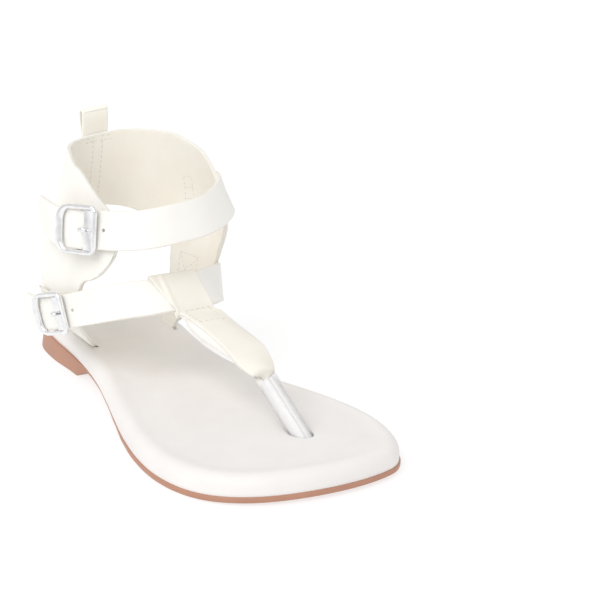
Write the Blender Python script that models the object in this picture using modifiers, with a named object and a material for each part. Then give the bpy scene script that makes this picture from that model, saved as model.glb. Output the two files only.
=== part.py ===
"""Flat ankle strap sandal for the right foot, in a frame with the toe at -Y and the outer side at -X.

Tables and sizes are in millimetres, and meshes are written in metres.
"""
import math

import bmesh
import bpy
from mathutils import Matrix, Vector

MM = 0.001
GAP = 0.3


def table(columns, *rows):
    """Rows of numbers with named columns, ordered by the first column."""
    names = columns.split()
    return [dict(zip(names, row)) for row in rows]


# Driving sizes
LENGTH = 250.0
CENTRE_SHIFT = 2.8
SOLE_EDGE = 2.2
HEEL_SHARE = 0.305
BREAST_SHARE = 0.335
SOLE_ROUND = 0.6
SOLE_LIP = 0.3
LEATHER = 1.8
STRAP_WIDTH = 16.6
BUCKLE_SPAN = 20.0
BUCKLE_WIRE = 1.0
PRONG_RADIUS = 0.7
CHAPE_LEATHER = 0.8
SLEEVE_RADIUS = 4.2
SLEEVE_FLARE = 0.5
SLEEVE_WALL = 0.6
SLEEVE_START = 2.3
WING_FOOT = 10.2

# Edge of the sole seen from above, by the share of the length from heel to toe
SOLE = table(
    "share lateral medial",
    (0.00, 0.0, 0.0),
    (0.02, -15.6, 13.4),
    (0.06, -24.2, 21.4),
    (0.11, -28.8, 26.2),
    (0.18, -30.4, 28.5),
    (0.26, -30.2, 28.0),
    (0.34, -30.6, 26.6),
    (0.42, -32.6, 26.2),
    (0.50, -36.3, 28.2),
    (0.58, -40.6, 33.0),
    (0.66, -44.8, 39.4),
    (0.74, -47.8, 44.4),
    (0.81, -48.4, 46.4),
    (0.87, -46.0, 45.2),
    (0.92, -40.6, 41.8),
    (0.96, -31.0, 36.4),
    (0.985, -18.5, 28.6),
    (1.00, 7.0, 7.0),
)

# How far the sole unit's wall lies inside that edge, near the floor and at its top: flared heel, tucked waist
UNIT_WALL = table(
    "share low high",
    (0.00, 0.6, 0.0),
    (0.06, -1.3, -0.5),
    (0.20, -1.6, -0.5),
    (0.30, -1.2, -0.2),
    (0.34, 1.8, 1.8),
    (0.42, 2.4, 2.4),
    (0.50, 2.0, 2.0),
    (0.58, 0.9, 0.9),
    (0.66, 0.2, 0.2),
    (0.72, 0.0, 0.0),
)

# Side view of the sole's upper face, with the toe's spring
PROFILE = table(
    "share top",
    (0.00, 9.4),
    (0.10, 9.2),
    (0.20, 8.4),
    (0.30, 6.8),
    (0.40, 4.9),
    (0.50, 3.4),
    (0.60, 2.5),
    (0.68, 2.2),
    (0.86, 2.2),
    (0.93, 2.6),
    (1.00, 3.6),
)

# Rounded side of the padded footbed, from its underside to the flat top
FOOTBED_ROLL = table(
    "inset rise",
    (2.2, 0.0),
    (1.2, 0.7),
    (0.7, 2.2),
    (0.7, 4.0),
    (1.1, 5.6),
    (2.2, 7.0),
    (4.0, 7.9),
    (6.2, 8.0),
    (9.0, 7.6),
    (12.0, 7.2),
)
FOOTBED_FLAT = 7.1

# Ankle form that the cuff lies on, by height
FORM = table(
    "height lateral medial widest back front",
    (8.0, -17.4, 16.8, 51.0, 100.0, -12.0),
    (14.0, -23.2, 20.2, 53.0, 100.0, -10.0),
    (22.0, -31.2, 24.6, 55.0, 100.0, -8.0),
    (30.0, -37.6, 28.0, 57.0, 100.0, -6.0),
    (42.0, -39.2, 29.6, 58.0, 100.0, -4.0),
    (58.0, -36.6, 32.0, 56.0, 99.0, -4.0),
    (74.0, -31.6, 34.2, 54.0, 98.0, -5.0),
    (90.0, -26.2, 32.6, 54.0, 97.0, 2.0),
    (106.0, -21.6, 30.4, 55.0, 96.6, 8.0),
)
FORM_MIDDLE = 54.0
FORM_RADIUS = 44.0
FRONT_SQUARE = 0.74
BACK_SQUARE = 0.94

# Lower and upper edge of the cuff with its wings, by the angle around the ankle from the back
CUFF = table(
    "angle low high",
    (-138.0, 65.0, 76.0),
    (-136.0, 61.0, 78.0),
    (-131.0, 56.0, 80.5),
    (-124.0, 52.4, 83.0),
    (-117.0, 49.5, 85.4),
    (-113.6, 40.0, 86.7),
    (-110.0, 30.0, 88.0),
    (-106.0, 24.0, 89.5),
    (-100.0, 18.4, 91.8),
    (-93.6, 14.0, 94.4),
    (-89.5, WING_FOOT, 95.8),
    (-70.0, WING_FOOT, 100.6),
    (-68.6, 18.0, 100.7),
    (-67.0, 28.0, 100.9),
    (-63.0, 44.0, 101.1),
    (-56.0, 57.0, 101.3),
    (-44.0, 63.0, 101.7),
    (-20.0, 68.0, 102.8),
    (0.0, 69.0, 104.2),
    (20.0, 68.0, 106.0),
    (44.0, 63.5, 106.6),
    (64.0, 58.0, 106.5),
    (69.5, 50.0, 106.3),
    (72.0, 34.0, 106.1),
    (73.4, 20.0, 105.9),
    (74.6, WING_FOOT, 105.8),
    (87.4, WING_FOOT, 104.0),
    (88.8, 14.6, 103.8),
    (90.8, 19.0, 103.4),
    (96.0, 26.0, 102.2),
    (104.0, 35.5, 99.8),
    (112.0, 45.0, 96.2),
    (119.0, 54.0, 92.8),
    (129.0, 66.0, 89.4),
    (140.0, 76.0, 88.0),
)

# Centre line of each strap, by the angle around the ankle, with its lean, its lift off the form and its width
ANKLE_STRAP = table(
    "angle height lean lift width",
    (60.0, 80.0, 6.0, 1.4, 16.6),
    (90.0, 82.6, 8.0, 1.4, 16.6),
    (118.0, 85.0, 13.0, 1.6, 16.2),
    (135.0, 84.6, 26.0, 2.2, 15.8),
    (155.0, 82.0, 27.0, 1.8, 16.2),
    (180.0, 78.6, 24.0, 2.8, 16.6),
    (205.0, 76.2, 20.0, 2.8, 16.6),
    (222.0, 75.2, 15.0, 2.8, 16.6),
    (235.0, 74.6, 12.0, 3.8, 16.6),
    (246.0, 74.2, 9.0, 7.6, 16.6),
    (256.0, 74.2, 6.0, 10.2, 16.6),
    (266.0, 75.0, 2.0, 10.2, 16.6),
    (276.0, 76.0, -3.0, 9.0, 16.6),
)
INSTEP_STRAP = table(
    "angle height lean lift width",
    (76.0, 38.0, -6.0, 1.4, 16.6),
    (90.0, 39.8, -4.0, 1.4, 16.6),
    (106.0, 41.8, -4.0, 1.5, 16.6),
    (124.0, 44.4, 0.0, 1.2, 16.6),
    (150.0, 47.4, 28.0, -1.0, 16.6),
    (178.0, 48.4, 45.0, 2.8, 16.6),
    (205.0, 46.8, 36.0, 2.8, 16.4),
    (220.0, 44.6, 22.0, 2.6, 15.8),
    (236.0, 40.9, 9.0, 2.7, 15.1),
    (243.0, 39.1, 4.0, 3.8, 14.9),
    (249.0, 37.4, 0.0, 5.6, 14.7),
    (255.0, 35.6, -3.0, 7.4, 14.6),
    (261.0, 34.1, -4.0, 9.0, 14.6),
    (268.0, 33.2, -4.0, 10.2, 14.6),
    (272.0, 33.0, -4.0, 10.6, 14.6),
)
ANKLE_BUCKLE_ANGLE = 245.4
INSTEP_BUCKLE_ANGLE = 255.6

# Centre line of the toe strap below the instep strap
TOE_STRAP = table(
    "along side height width",
    (-17.0, 2.6, 40.5, 17.0),
    (-28.0, 3.2, 39.2, 16.9),
    (-41.0, 3.8, 37.2, 16.8),
    (-52.0, 4.3, 34.2, 16.2),
    (-58.0, 4.6, 31.2, 15.0),
    (-62.5, 4.8, 28.8, 12.2),
    (-65.6, 5.0, 27.4, 8.8),
)
UNDER_SAG = 4.0
UNDER_END = -56.0
POST_TOP = Vector((5.0, -65.6, 27.4))
POST_FOOT = Vector((10.4, -90.2, 6.0))


def smooth(rows, key, value, column):
    """Smooth curve through a column of a table."""
    last = len(rows) - 1
    if value <= rows[0][key]:
        return rows[0][column]
    if value >= rows[last][key]:
        return rows[last][column]
    i = max(k for k in range(last) if rows[k][key] <= value)

    def slope(k):
        low, high = max(k - 1, 0), min(k + 1, last)
        return (rows[high][column] - rows[low][column]) / (rows[high][key] - rows[low][key])

    step = rows[i + 1][key] - rows[i][key]
    t = (value - rows[i][key]) / step
    start, end = rows[i][column], rows[i + 1][column]
    return (
        start * (1 + 2 * t) * (1 - t) ** 2
        + slope(i) * step * t * (1 - t) ** 2
        + end * t * t * (3 - 2 * t)
        + slope(i + 1) * step * t * t * (t - 1)
    )


def straight(rows, key, value, column):
    """Straight runs through a column of a table."""
    for a, b in zip(rows, rows[1:]):
        if value <= b[key]:
            t = max(0.0, (value - a[key]) / (b[key] - a[key]))
            return a[column] + t * (b[column] - a[column])
    return rows[-1][column]


def new_collection(name):
    """A collection linked to the scene."""
    group = bpy.data.collections.new(name)
    bpy.context.scene.collection.children.link(group)
    return group


def material(name, colour, roughness, metallic=0.0):
    """A Principled material with an sRGB colour given in parts of 255."""
    made = bpy.data.materials.new(name)
    made.use_nodes = True
    shader = made.node_tree.nodes["Principled BSDF"]
    linear = [((c / 255 + 0.055) / 1.055) ** 2.4 for c in colour]
    shader.inputs["Base Color"].default_value = (*linear, 1.0)
    shader.inputs["Roughness"].default_value = roughness
    shader.inputs["Metallic"].default_value = metallic
    return made


def add_object(name, bm, group, finish=None):
    """An object from a bmesh drawn in millimetres."""
    bmesh.ops.recalc_face_normals(bm, faces=bm.faces)
    bmesh.ops.scale(bm, vec=(MM, MM, MM), verts=bm.verts)
    mesh = bpy.data.meshes.new(name)
    bm.to_mesh(mesh)
    bm.free()
    made = bpy.data.objects.new(name, mesh)
    group.objects.link(made)
    if finish is None:
        made.hide_render = True
        made.display_type = "WIRE"
    else:
        mesh.materials.append(finish)
        mesh.shade_smooth()
        mesh.set_sharp_from_angle(angle=math.radians(40))
    return made


def solidify(piece, thickness):
    """Gives an open surface its wall, half to each side."""
    wall = piece.modifiers.new("wall", "SOLIDIFY")
    wall.thickness = thickness * MM
    wall.offset = 0.0


def combine(piece, operation, *others):
    """Joins other pieces to this one, or cuts them out of it."""
    for other in others:
        step = piece.modifiers.new(other.name, "BOOLEAN")
        step.operation = operation
        step.solver = "EXACT"
        step.object = other


def surface(bm, grid):
    """Faces of an open sheet through rows of points."""
    rows = [[bm.verts.new(point) for point in row] for row in grid]
    for low, high in zip(rows, rows[1:]):
        for i in range(len(low) - 1):
            bm.faces.new((low[i], low[i + 1], high[i + 1], high[i]))


def spread(start, end, count):
    """Evenly spaced values from start to end."""
    return [start + (end - start) * i / count for i in range(count + 1)]


# Sole outline and heights
SOLE_STATIONS = 40
STATION_CLEAR = 0.03


def share_turn(share):
    """Half turn from heel to toe that stands for a share of the length."""
    return math.acos(1 - 2 * share)


for row in SOLE:
    row["turn"] = share_turn(row["share"])


def sole_turns():
    """Stations from heel to toe, close together at the rounded ends and at the heel breast."""
    marks = [share_turn(HEEL_SHARE), share_turn(BREAST_SHARE)]
    even = spread(0.0, math.pi, SOLE_STATIONS)
    return sorted(marks + [t for t in even if min(abs(t - m) for m in marks) > STATION_CLEAR])


def share_at(along):
    """Share of the length at a place along the shoe."""
    return 0.5 - along / LENGTH


def sole_ring(inset):
    """Plan points of the sole's edge, heel to toe on the lateral side and back, moved in by inset(share)."""
    lateral, medial = [], []
    for turn in sole_turns():
        along = LENGTH / 2 * math.cos(turn)
        lateral.append(Vector((smooth(SOLE, "turn", turn, "lateral"), along)))
        medial.append(Vector((smooth(SOLE, "turn", turn, "medial"), along)))
    ring = lateral + medial[-2:0:-1]
    count = len(ring)
    moved = []
    for i, point in enumerate(ring):
        run = ring[(i + 1) % count] - ring[i - 1]
        inward = Vector((-run.y, run.x)).normalized()
        moved.append(point + inward * inset(share_at(point.y)))
    return moved


def sole_top(along):
    """Height of the outsole's upper face."""
    return smooth(PROFILE, "share", share_at(along), "top")


def sole_underside(along):
    """Height of the outsole's lower face: flat heel, breast, rising waist, flat tread and toe spring."""
    share = share_at(along)
    waist = sole_top(along) - SOLE_EDGE
    if share <= HEEL_SHARE:
        return 0.0
    if share < BREAST_SHARE:
        return waist * (share - HEEL_SHARE) / (BREAST_SHARE - HEEL_SHARE)
    return max(waist, 0.0)


def close_ring(bm, ring, columns, height):
    """Closes a ring with rows of faces across the foot."""
    half = len(ring) // 2
    rows = []
    for i in range(1, half):
        left, right = ring[i], ring[len(ring) - i]
        inner = []
        for j in range(1, columns):
            point = left.co.lerp(right.co, j / columns)
            inner.append(bm.verts.new((point.x, point.y, height(point.y))))
        rows.append([left, *inner, right])
    for low, high in zip(rows, rows[1:]):
        for j in range(columns):
            bm.faces.new((low[j], low[j + 1], high[j + 1], high[j]))
    for tip, row in ((ring[0], rows[0]), (ring[half], rows[-1])):
        for j in range(columns):
            bm.faces.new((tip, row[j], row[j + 1]))


def layered_solid(bm, layers, columns, bottom, top):
    """A solid from rings laid one over the next, closed below and above."""
    rings = []
    for inset, height in layers:
        rings.append([bm.verts.new((p.x, p.y, height(p.y))) for p in sole_ring(inset)])
    for low, high in zip(rings, rings[1:]):
        for i in range(len(low)):
            bm.faces.new((low[i - 1], low[i], high[i], high[i - 1]))
    close_ring(bm, rings[0], 1, bottom)
    close_ring(bm, rings[-1], columns, top)


def unit_low(share):
    """Inset of the sole unit's wall near the floor."""
    return straight(UNIT_WALL, "share", share, "low")


def unit_high(share):
    """Inset of the sole unit's wall at its top."""
    return straight(UNIT_WALL, "share", share, "high")


def build_outsole(group):
    """Tan moulded unit: thin sole edge, rising waist and low heel."""
    bm = bmesh.new()
    layers = (
        (lambda share: unit_low(share) + SOLE_ROUND, sole_underside),
        (unit_low, lambda along: sole_underside(along) + SOLE_ROUND),
        (unit_high, lambda along: sole_top(along) - 2 * SOLE_LIP),
        (lambda share: unit_high(share) + SOLE_LIP, sole_top),
    )
    layered_solid(bm, layers, 2, sole_underside, sole_top)
    return add_object("outsole", bm, group, material("tan_unit", (200, 160, 140), 0.55))


def footbed_base(along):
    """Height of the footbed's underside."""
    return sole_top(along) + GAP


def build_footbed(group):
    """Padded footbed with a rolled edge."""
    bm = bmesh.new()
    layers = []
    for row in FOOTBED_ROLL:
        inset, rise = row["inset"], row["rise"]
        layers.append((lambda share, inset=inset: inset, lambda along, rise=rise: footbed_base(along) + rise))
    layered_solid(bm, layers, 6, footbed_base, lambda along: footbed_base(along) + FOOTBED_FLAT)
    return add_object("footbed", bm, group, material("footbed_leather", (240, 236, 232), 0.6))


# Ankle form, cuff and straps
def power(value, exponent):
    """Signed power that squares up an oval."""
    return math.copysign(abs(value) ** exponent, value)


def form_plan(angle, height):
    """Point of the ankle form at an angle from the back, positive to the medial side."""
    size = {name: smooth(FORM, "height", height, name) for name in FORM[0] if name != "height"}
    turn = math.radians(angle)
    sine, cosine = math.sin(turn), math.cos(turn)
    square = BACK_SQUARE if cosine > 0 else FRONT_SQUARE
    side = size["medial"] if sine > 0 else -size["lateral"]
    reach = size["back"] - size["widest"] if cosine > 0 else size["widest"] - size["front"]
    return Vector((side * power(sine, square), size["widest"] + reach * power(cosine, square), height))


def form_point(angle, height, lift=0.0):
    """Point of the ankle form moved out level from its surface."""
    step = 1.0
    run = form_plan(angle + step, height) - form_plan(angle - step, height)
    outward = Vector((run.y, -run.x, 0.0)).normalized()
    if outward.dot(form_plan(angle, height) - Vector((0.0, FORM_MIDDLE, height))) < 0:
        outward = -outward
    return form_plan(angle, height) + outward * lift


def build_cuff(group, finish):
    """Ankle cuff with a wing down each side of the heel."""
    rows, column_step = 8, 6.0
    angles = {row["angle"] for row in CUFF}
    steps = int((CUFF[-1]["angle"] - CUFF[0]["angle"]) / column_step)
    even = spread(CUFF[0]["angle"], CUFF[-1]["angle"], steps)
    angles |= {a for a in even if min(abs(a - mark) for mark in angles) > column_step / 3}
    grid = []
    for angle in sorted(angles):
        low = straight(CUFF, "angle", angle, "low")
        high = straight(CUFF, "angle", angle, "high")
        grid.append([form_point(angle, height) for height in spread(low, high, rows)])
    bm = bmesh.new()
    surface(bm, grid)
    cuff = add_object("upper", bm, group, finish)
    solidify(cuff, LEATHER)
    return cuff


def strap_centre(rows, angle):
    """Centre of a strap at an angle around the ankle."""
    height = smooth(rows, "angle", angle, "height")
    return form_point(angle, height, smooth(rows, "angle", angle, "lift"))


def strap_frame(rows, angle):
    """Centre, run, across and outward directions of a strap at an angle."""
    step = 1.0
    centre = strap_centre(rows, angle)
    run = (strap_centre(rows, angle + step) - strap_centre(rows, angle - step)).normalized()
    upright = (Vector((0, 0, 1)) - run * run.z).normalized()
    outward = upright.cross(run)
    if outward.dot(centre - Vector((0.0, FORM_MIDDLE, centre.z))) < 0:
        outward = -outward
    lean = math.radians(smooth(rows, "angle", angle, "lean"))
    across = upright * math.cos(lean) - outward * math.sin(lean)
    return centre, run, across, outward * math.cos(lean) + upright * math.sin(lean)


def build_strap(name, rows, group):
    """A flat strap around the ankle form."""
    column_step, columns = 4.0, 3
    first, last = rows[0]["angle"], rows[-1]["angle"]
    grid = []
    for angle in spread(first, last, int((last - first) / column_step)):
        centre, _, across, _ = strap_frame(rows, angle)
        width = smooth(rows, "angle", angle, "width")
        grid.append([centre + across * (width * share) for share in spread(-0.5, 0.5, columns)])
    bm = bmesh.new()
    surface(bm, grid)
    strap = add_object(name, bm, group)
    solidify(strap, LEATHER)
    return strap


# Toe strap, its loop over the instep strap and the toe post
CROSS_ANGLE = 181.0
TOE_LAYERS = 2.4
TOE_LAP = 1.5
WRAP_LEATHER = 1.3
WRAP_SINK = 0.25
WRAP_SKEW = 2.0
WRAP_WIDTH_TOP = 21.0
WRAP_WIDTH_LOW = 17.2
WRAP_END = 3.0
WRAP_MARGIN = 1.0
WRAP_PARTING = 0.1
UNDER_LEATHER = 1.2
UNDER_LAP = 0.3
UNDER_MARGIN = 0.6
FLANK_INSET = 1.0
FLANK_BULGE = 0.8
LEVEL = Vector((1, 0, 0))


def ribbon(bm, path, widths, sides):
    """An open strip along a path, spread to both sides of it."""
    grid = []
    for point, width, side in zip(path, widths, sides):
        grid.append([point + side * (width * share) for share in spread(-0.5, 0.5, 4)])
    surface(bm, grid)


def toe_path(start, end, count):
    """Points and widths along the toe strap between two places along the shoe."""
    rows = [{**row, "ahead": -row["along"]} for row in TOE_STRAP]
    path, widths = [], []
    for ahead in spread(-start, -end, count):
        side, height, width = (smooth(rows, "ahead", ahead, name) for name in ("side", "height", "width"))
        path.append(Vector((side, -ahead, height)))
        widths.append(width)
    return path, widths


def build_toe_strap(group):
    """Toe strap from the lower edge of the instep strap down to the post."""
    centre, run, across, _ = strap_frame(INSTEP_STRAP, CROSS_ANGLE)
    path, widths = toe_path(TOE_STRAP[0]["along"], TOE_STRAP[-1]["along"], 16)
    centre -= run * WRAP_SKEW
    head = [centre - across * (STRAP_WIDTH / 2 + beyond) for beyond in (-TOE_LAP, TOE_LAP)]
    bm = bmesh.new()
    widths = [WRAP_WIDTH_LOW - WRAP_MARGIN] * len(head) + widths
    ribbon(bm, head + path, widths, [LEVEL] * len(widths))
    strap = add_object("toe_strap", bm, group)
    solidify(strap, TOE_LAYERS)
    return strap


def build_toe_under(group):
    """Slack under layer of the toe strap."""
    path, widths = toe_path(TOE_STRAP[0]["along"], UNDER_END, 12)
    hang = TOE_LAYERS / 2 - UNDER_LAP
    lowered = []
    for i, point in enumerate(path):
        sag = hang + UNDER_SAG * math.sin(math.pi * i / (len(path) - 1))
        lowered.append(point - Vector((0, 0, sag)))
    bm = bmesh.new()
    ribbon(bm, lowered, [width - UNDER_MARGIN for width in widths], [LEVEL] * len(widths))
    under = add_object("toe_under", bm, group)
    solidify(under, UNDER_LEATHER)
    return under


def build_toe_flank(group):
    """Folded edge that joins the under layer to the strap on the lateral side."""
    path, widths = toe_path(TOE_STRAP[0]["along"], UNDER_END, 12)
    hang = TOE_LAYERS / 2 - UNDER_LAP
    grid = []
    for i, (point, width) in enumerate(zip(path, widths)):
        slack = math.sin(math.pi * i / (len(path) - 1))
        row = []
        for share in spread(0.0, 1.0, 4):
            bulge = FLANK_BULGE * slack * 4 * share * (1 - share)
            drop = (hang + UNDER_SAG * slack) * share
            row.append(point + Vector((FLANK_INSET - bulge - width / 2, 0, -drop)))
        grid.append(row)
    bm = bmesh.new()
    surface(bm, grid)
    flank = add_object("toe_flank", bm, group)
    solidify(flank, UNDER_LEATHER)
    return flank


def build_toe_wrap(group):
    """Loop of the toe strap around the instep strap, open below."""
    centre, run, across, outward = strap_frame(INSTEP_STRAP, CROSS_ANGLE)
    away = LEATHER / 2 + WRAP_LEATHER / 2 - WRAP_SINK
    half = STRAP_WIDTH / 2
    pinch = WRAP_LEATHER / 2 + WRAP_PARTING
    path = [(-half - WRAP_END, pinch)]
    path += [(half * share, away) for share in spread(-0.95, 0.9, 4)]
    path += [(half + away * math.sin(turn), away * math.cos(turn)) for turn in spread(0.0, math.pi, 4)]
    path += [(half * share, -away) for share in spread(0.9, -0.95, 4)]
    path.append((-half - WRAP_END, -pinch))
    points, widths = [], []
    for up, out in path:
        share = min(1.0, max(-1.0, up / half))
        points.append(centre + across * up + outward * out + run * (WRAP_SKEW * share))
        widths.append(WRAP_WIDTH_LOW + (WRAP_WIDTH_TOP - WRAP_WIDTH_LOW) * (share + 1) / 2)
    bm = bmesh.new()
    ribbon(bm, points, widths, [-run] * len(points))
    wrap = add_object("toe_wrap", bm, group)
    solidify(wrap, WRAP_LEATHER)
    return wrap


def along_axis(start, end):
    """Placement whose Z axis runs from start to end."""
    turn = (end - start).to_track_quat("Z", "Y").to_matrix().to_4x4()
    return Matrix.Translation(start * MM) @ turn


def rod(name, start, end, radius, group, finish=None, sides=20):
    """A round rod between two points."""
    bm = bmesh.new()
    length = (end - start).length
    bmesh.ops.create_cone(bm, cap_ends=True, segments=sides, radius1=radius, radius2=radius, depth=length)
    bmesh.ops.translate(bm, vec=(0, 0, length / 2), verts=bm.verts)
    made = add_object(name, bm, group, finish)
    made.matrix_world = along_axis(start, end)
    return made


def build_sleeve(group):
    """Clear tube around the toe post."""
    axis = (POST_FOOT - POST_TOP).normalized()
    start = POST_TOP + axis * SLEEVE_START
    length = (POST_FOOT - start).length
    inner = SLEEVE_RADIUS - SLEEVE_WALL
    flare = SLEEVE_FLARE
    profile = ((SLEEVE_RADIUS + flare, 0.0), (SLEEVE_RADIUS, length), (inner, length), (inner + flare, 0.0))
    bm = bmesh.new()
    verts = [bm.verts.new((radius, 0.0, height)) for radius, height in profile]
    for i in range(len(verts)):
        bm.edges.new((verts[i], verts[i - 1]))
    sleeve = add_object("toe_post_sleeve", bm, group, material("clear_sleeve", (238, 238, 236), 0.15))
    turned = sleeve.modifiers.new("turned", "SCREW")
    turned.axis = "Z"
    turned.steps = 24
    turned.render_steps = 24
    turned.use_merge_vertices = True
    turned.merge_threshold = 0.00001
    sleeve.matrix_world = along_axis(start, POST_FOOT)
    return sleeve


# Buckles with their chapes and prongs
FRONT_CORNER = 2.6
REAR_CORNER = 5.6
CORNER_STEPS = 4
CENTRE_BAR = -1.0
BAR_CLEAR = 0.2
PLATE_LENGTH = 6.0
PLATE_THICK = 1.6
PLATE_EDGE = 0.5
PLATE_REACH = 0.6
CHAPE_WIDTH = 12.0
CHAPE_LAP = 115.0
CHAPE_RUN = table(
    "back lift",
    (4.0, 2.6),
    (9.0, 2.0),
    (15.0, 1.9),
)
PRONG_SLOT = 2.2
PRONG_HOLE_LENGTH = 6.0
PRONG_HOLE_AHEAD = 1.6
PRONG_REACH = 5.6
SPARE_HOLE_AHEAD = 3.4
SPARE_HOLE_RADIUS = 0.9
RIVET_RADIUS = 2.4
RIVET_HEAD = 0.9
RIVET_STAND = 0.85
RIVET_ANGLE = -80.0
RIVET_HEIGHT = 40.0
SEARCH_ANGLE = 30.0
SEARCH_STEPS = 30


class Seat:
    """Place of a buckle on its strap: forward along the strap, up across it and out from it."""

    def __init__(self, rows, angle):
        self.rows = rows
        self.centre, run, self.up, self.out = strap_frame(rows, angle)
        self.ahead = -run
        self.angle = angle
        self.width = smooth(rows, "angle", angle, "width")
        half = BUCKLE_SPAN / 2
        over_rear = self.crest(-half) + BUCKLE_WIRE
        over_front = max(self.crest(half), self.crest(half - PLATE_LENGTH)) + PLATE_THICK / 2
        self.ring = max(over_rear, over_front) + LEATHER / 2 + GAP
        self.bar = self.depth(CENTRE_BAR) - LEATHER / 2 - GAP - CHAPE_LEATHER - BAR_CLEAR - BUCKLE_WIRE
        self.bar_angle = self.strap_angle(CENTRE_BAR)
        self.bar_height = smooth(rows, "angle", self.bar_angle, "height")

    def strap_angle(self, ahead):
        """Angle around the ankle where the strap is this far ahead of the buckle's middle."""
        low, high = self.angle - SEARCH_ANGLE, self.angle + SEARCH_ANGLE
        for _ in range(SEARCH_STEPS):
            middle = (low + high) / 2
            reach = (strap_centre(self.rows, middle) - self.centre).dot(self.ahead)
            low, high = (middle, high) if reach > ahead else (low, middle)
        return (low + high) / 2

    def depth(self, ahead):
        """How far out the strap's middle lies there."""
        return (strap_centre(self.rows, self.strap_angle(ahead)) - self.centre).dot(self.out)

    def crest(self, ahead):
        """How far out the strap's farther edge or middle lies there."""
        centre, _, across, _ = strap_frame(self.rows, self.strap_angle(ahead))
        sides = (centre + across * (self.width * share) - self.centre for share in (-0.5, 0.0, 0.5))
        return max(side.dot(self.out) for side in sides)

    def point(self, ahead, up, out):
        """World point from distances ahead, up and out."""
        return self.centre + self.ahead * ahead + self.up * up + self.out * out

    def placed(self, ahead, up, out):
        """Placement with axes ahead, up and out."""
        turn = Matrix((self.ahead, self.up, self.out)).transposed().to_4x4()
        return Matrix.Translation(self.point(ahead, up, out) * MM) @ turn


def wire(name, points, radius, closed, group, finish):
    """A round wire along points, turned into a mesh."""
    curve = bpy.data.curves.new(name + "_path", "CURVE")
    curve.dimensions = "3D"
    curve.bevel_depth = radius * MM
    curve.bevel_resolution = 2
    curve.use_fill_caps = not closed
    line = curve.splines.new("POLY")
    line.points.add(len(points) - 1)
    line.use_cyclic_u = closed
    for knot, point in zip(line.points, points):
        knot.co = (*(point * MM), 1.0)
    path = bpy.data.objects.new(name + "_path", curve)
    group.objects.link(path)
    bpy.context.view_layer.update()
    mesh = bpy.data.meshes.new_from_object(path.evaluated_get(bpy.context.evaluated_depsgraph_get()))
    bpy.data.objects.remove(path, do_unlink=True)
    bm = bmesh.new()
    bm.from_mesh(mesh)
    bpy.data.meshes.remove(mesh)
    bmesh.ops.remove_doubles(bm, verts=bm.verts, dist=0.000001)
    bmesh.ops.scale(bm, vec=(1 / MM, 1 / MM, 1 / MM), verts=bm.verts)
    return add_object(name, bm, group, finish)


def block(name, seat, place, size, group):
    """A helper box on a buckle's seat."""
    bm = bmesh.new()
    bmesh.ops.create_cube(bm, size=1.0)
    bmesh.ops.scale(bm, vec=size, verts=bm.verts)
    made = add_object(name, bm, group)
    made.matrix_world = seat.placed(*place)
    return made


def build_buckle(name, seat, group, spare, finish):
    """Buckle: a wire ring over the strap, a broad front plate and a centre bar below the strap."""
    half_long = BUCKLE_SPAN / 2
    half_tall = seat.width / 2 + GAP + BUCKLE_WIRE
    points = []
    for corner, (sx, sy) in enumerate(((1, 1), (-1, 1), (-1, -1), (1, -1))):
        radius = FRONT_CORNER if sx > 0 else REAR_CORNER
        for turn in spread(0.0, math.pi / 2, CORNER_STEPS):
            around = turn + corner * math.pi / 2
            ahead = sx * (half_long - radius) + radius * math.cos(around)
            up = sy * (half_tall - radius) + radius * math.sin(around)
            points.append(seat.point(ahead, up, seat.ring))
    frame = wire(name, points, BUCKLE_WIRE, True, group, finish)
    size = (PLATE_LENGTH, 2 * half_tall - 2 * BUCKLE_WIRE, PLATE_THICK)
    middle = half_long - PLATE_LENGTH / 2 + PLATE_REACH
    plate = block(name + "_plate", seat, (middle, 0.0, seat.ring), size, spare)
    edge = plate.modifiers.new("edge", "BEVEL")
    edge.width = PLATE_EDGE * MM
    edge.segments = 2
    corners = ((half_tall, seat.ring), (half_tall, seat.bar), (-half_tall, seat.bar), (-half_tall, seat.ring))
    bar_points = [seat.point(CENTRE_BAR, up, out) for up, out in corners]
    bar = wire(name + "_bar", bar_points, BUCKLE_WIRE, False, spare, None)
    combine(frame, "UNION", plate, bar)
    return frame


def build_prong(name, seat, group, finish):
    """Tongue from the centre bar up through the strap to the front plate."""
    start = CENTRE_BAR + BUCKLE_WIRE + BAR_CLEAR + PRONG_RADIUS
    top = seat.ring + PLATE_THICK / 2 + BAR_CLEAR + PRONG_RADIUS
    clear = LEATHER / 2 + GAP + PRONG_RADIUS
    path = (
        (0.0, seat.bar - PRONG_RADIUS / 2),
        (0.05, seat.bar + PRONG_RADIUS),
        (0.15, -LEATHER / 2),
        (0.38, clear),
        (0.55, top),
        (1.0, top),
    )
    points = [seat.point(start + PRONG_REACH * share, 0.0, out) for share, out in path]
    return wire(name, points, PRONG_RADIUS, False, group, finish)


def prong_hole(name, seat, spare):
    """Slot through the strap for the prong."""
    ahead = CENTRE_BAR + BUCKLE_WIRE + BAR_CLEAR + PRONG_RADIUS + PRONG_HOLE_AHEAD
    size = (PRONG_HOLE_LENGTH, PRONG_SLOT, 3 * LEATHER)
    return block(name, seat, (ahead, 0.0, seat.depth(ahead)), size, spare)


def spare_hole(name, seat, spare):
    """Next punched hole, just ahead of the buckle."""
    angle = seat.strap_angle(BUCKLE_SPAN / 2 + SPARE_HOLE_AHEAD)
    centre, _, _, outward = strap_frame(seat.rows, angle)
    return rod(name, centre - outward * LEATHER, centre + outward * LEATHER, SPARE_HOLE_RADIUS, spare, sides=10)


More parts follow.
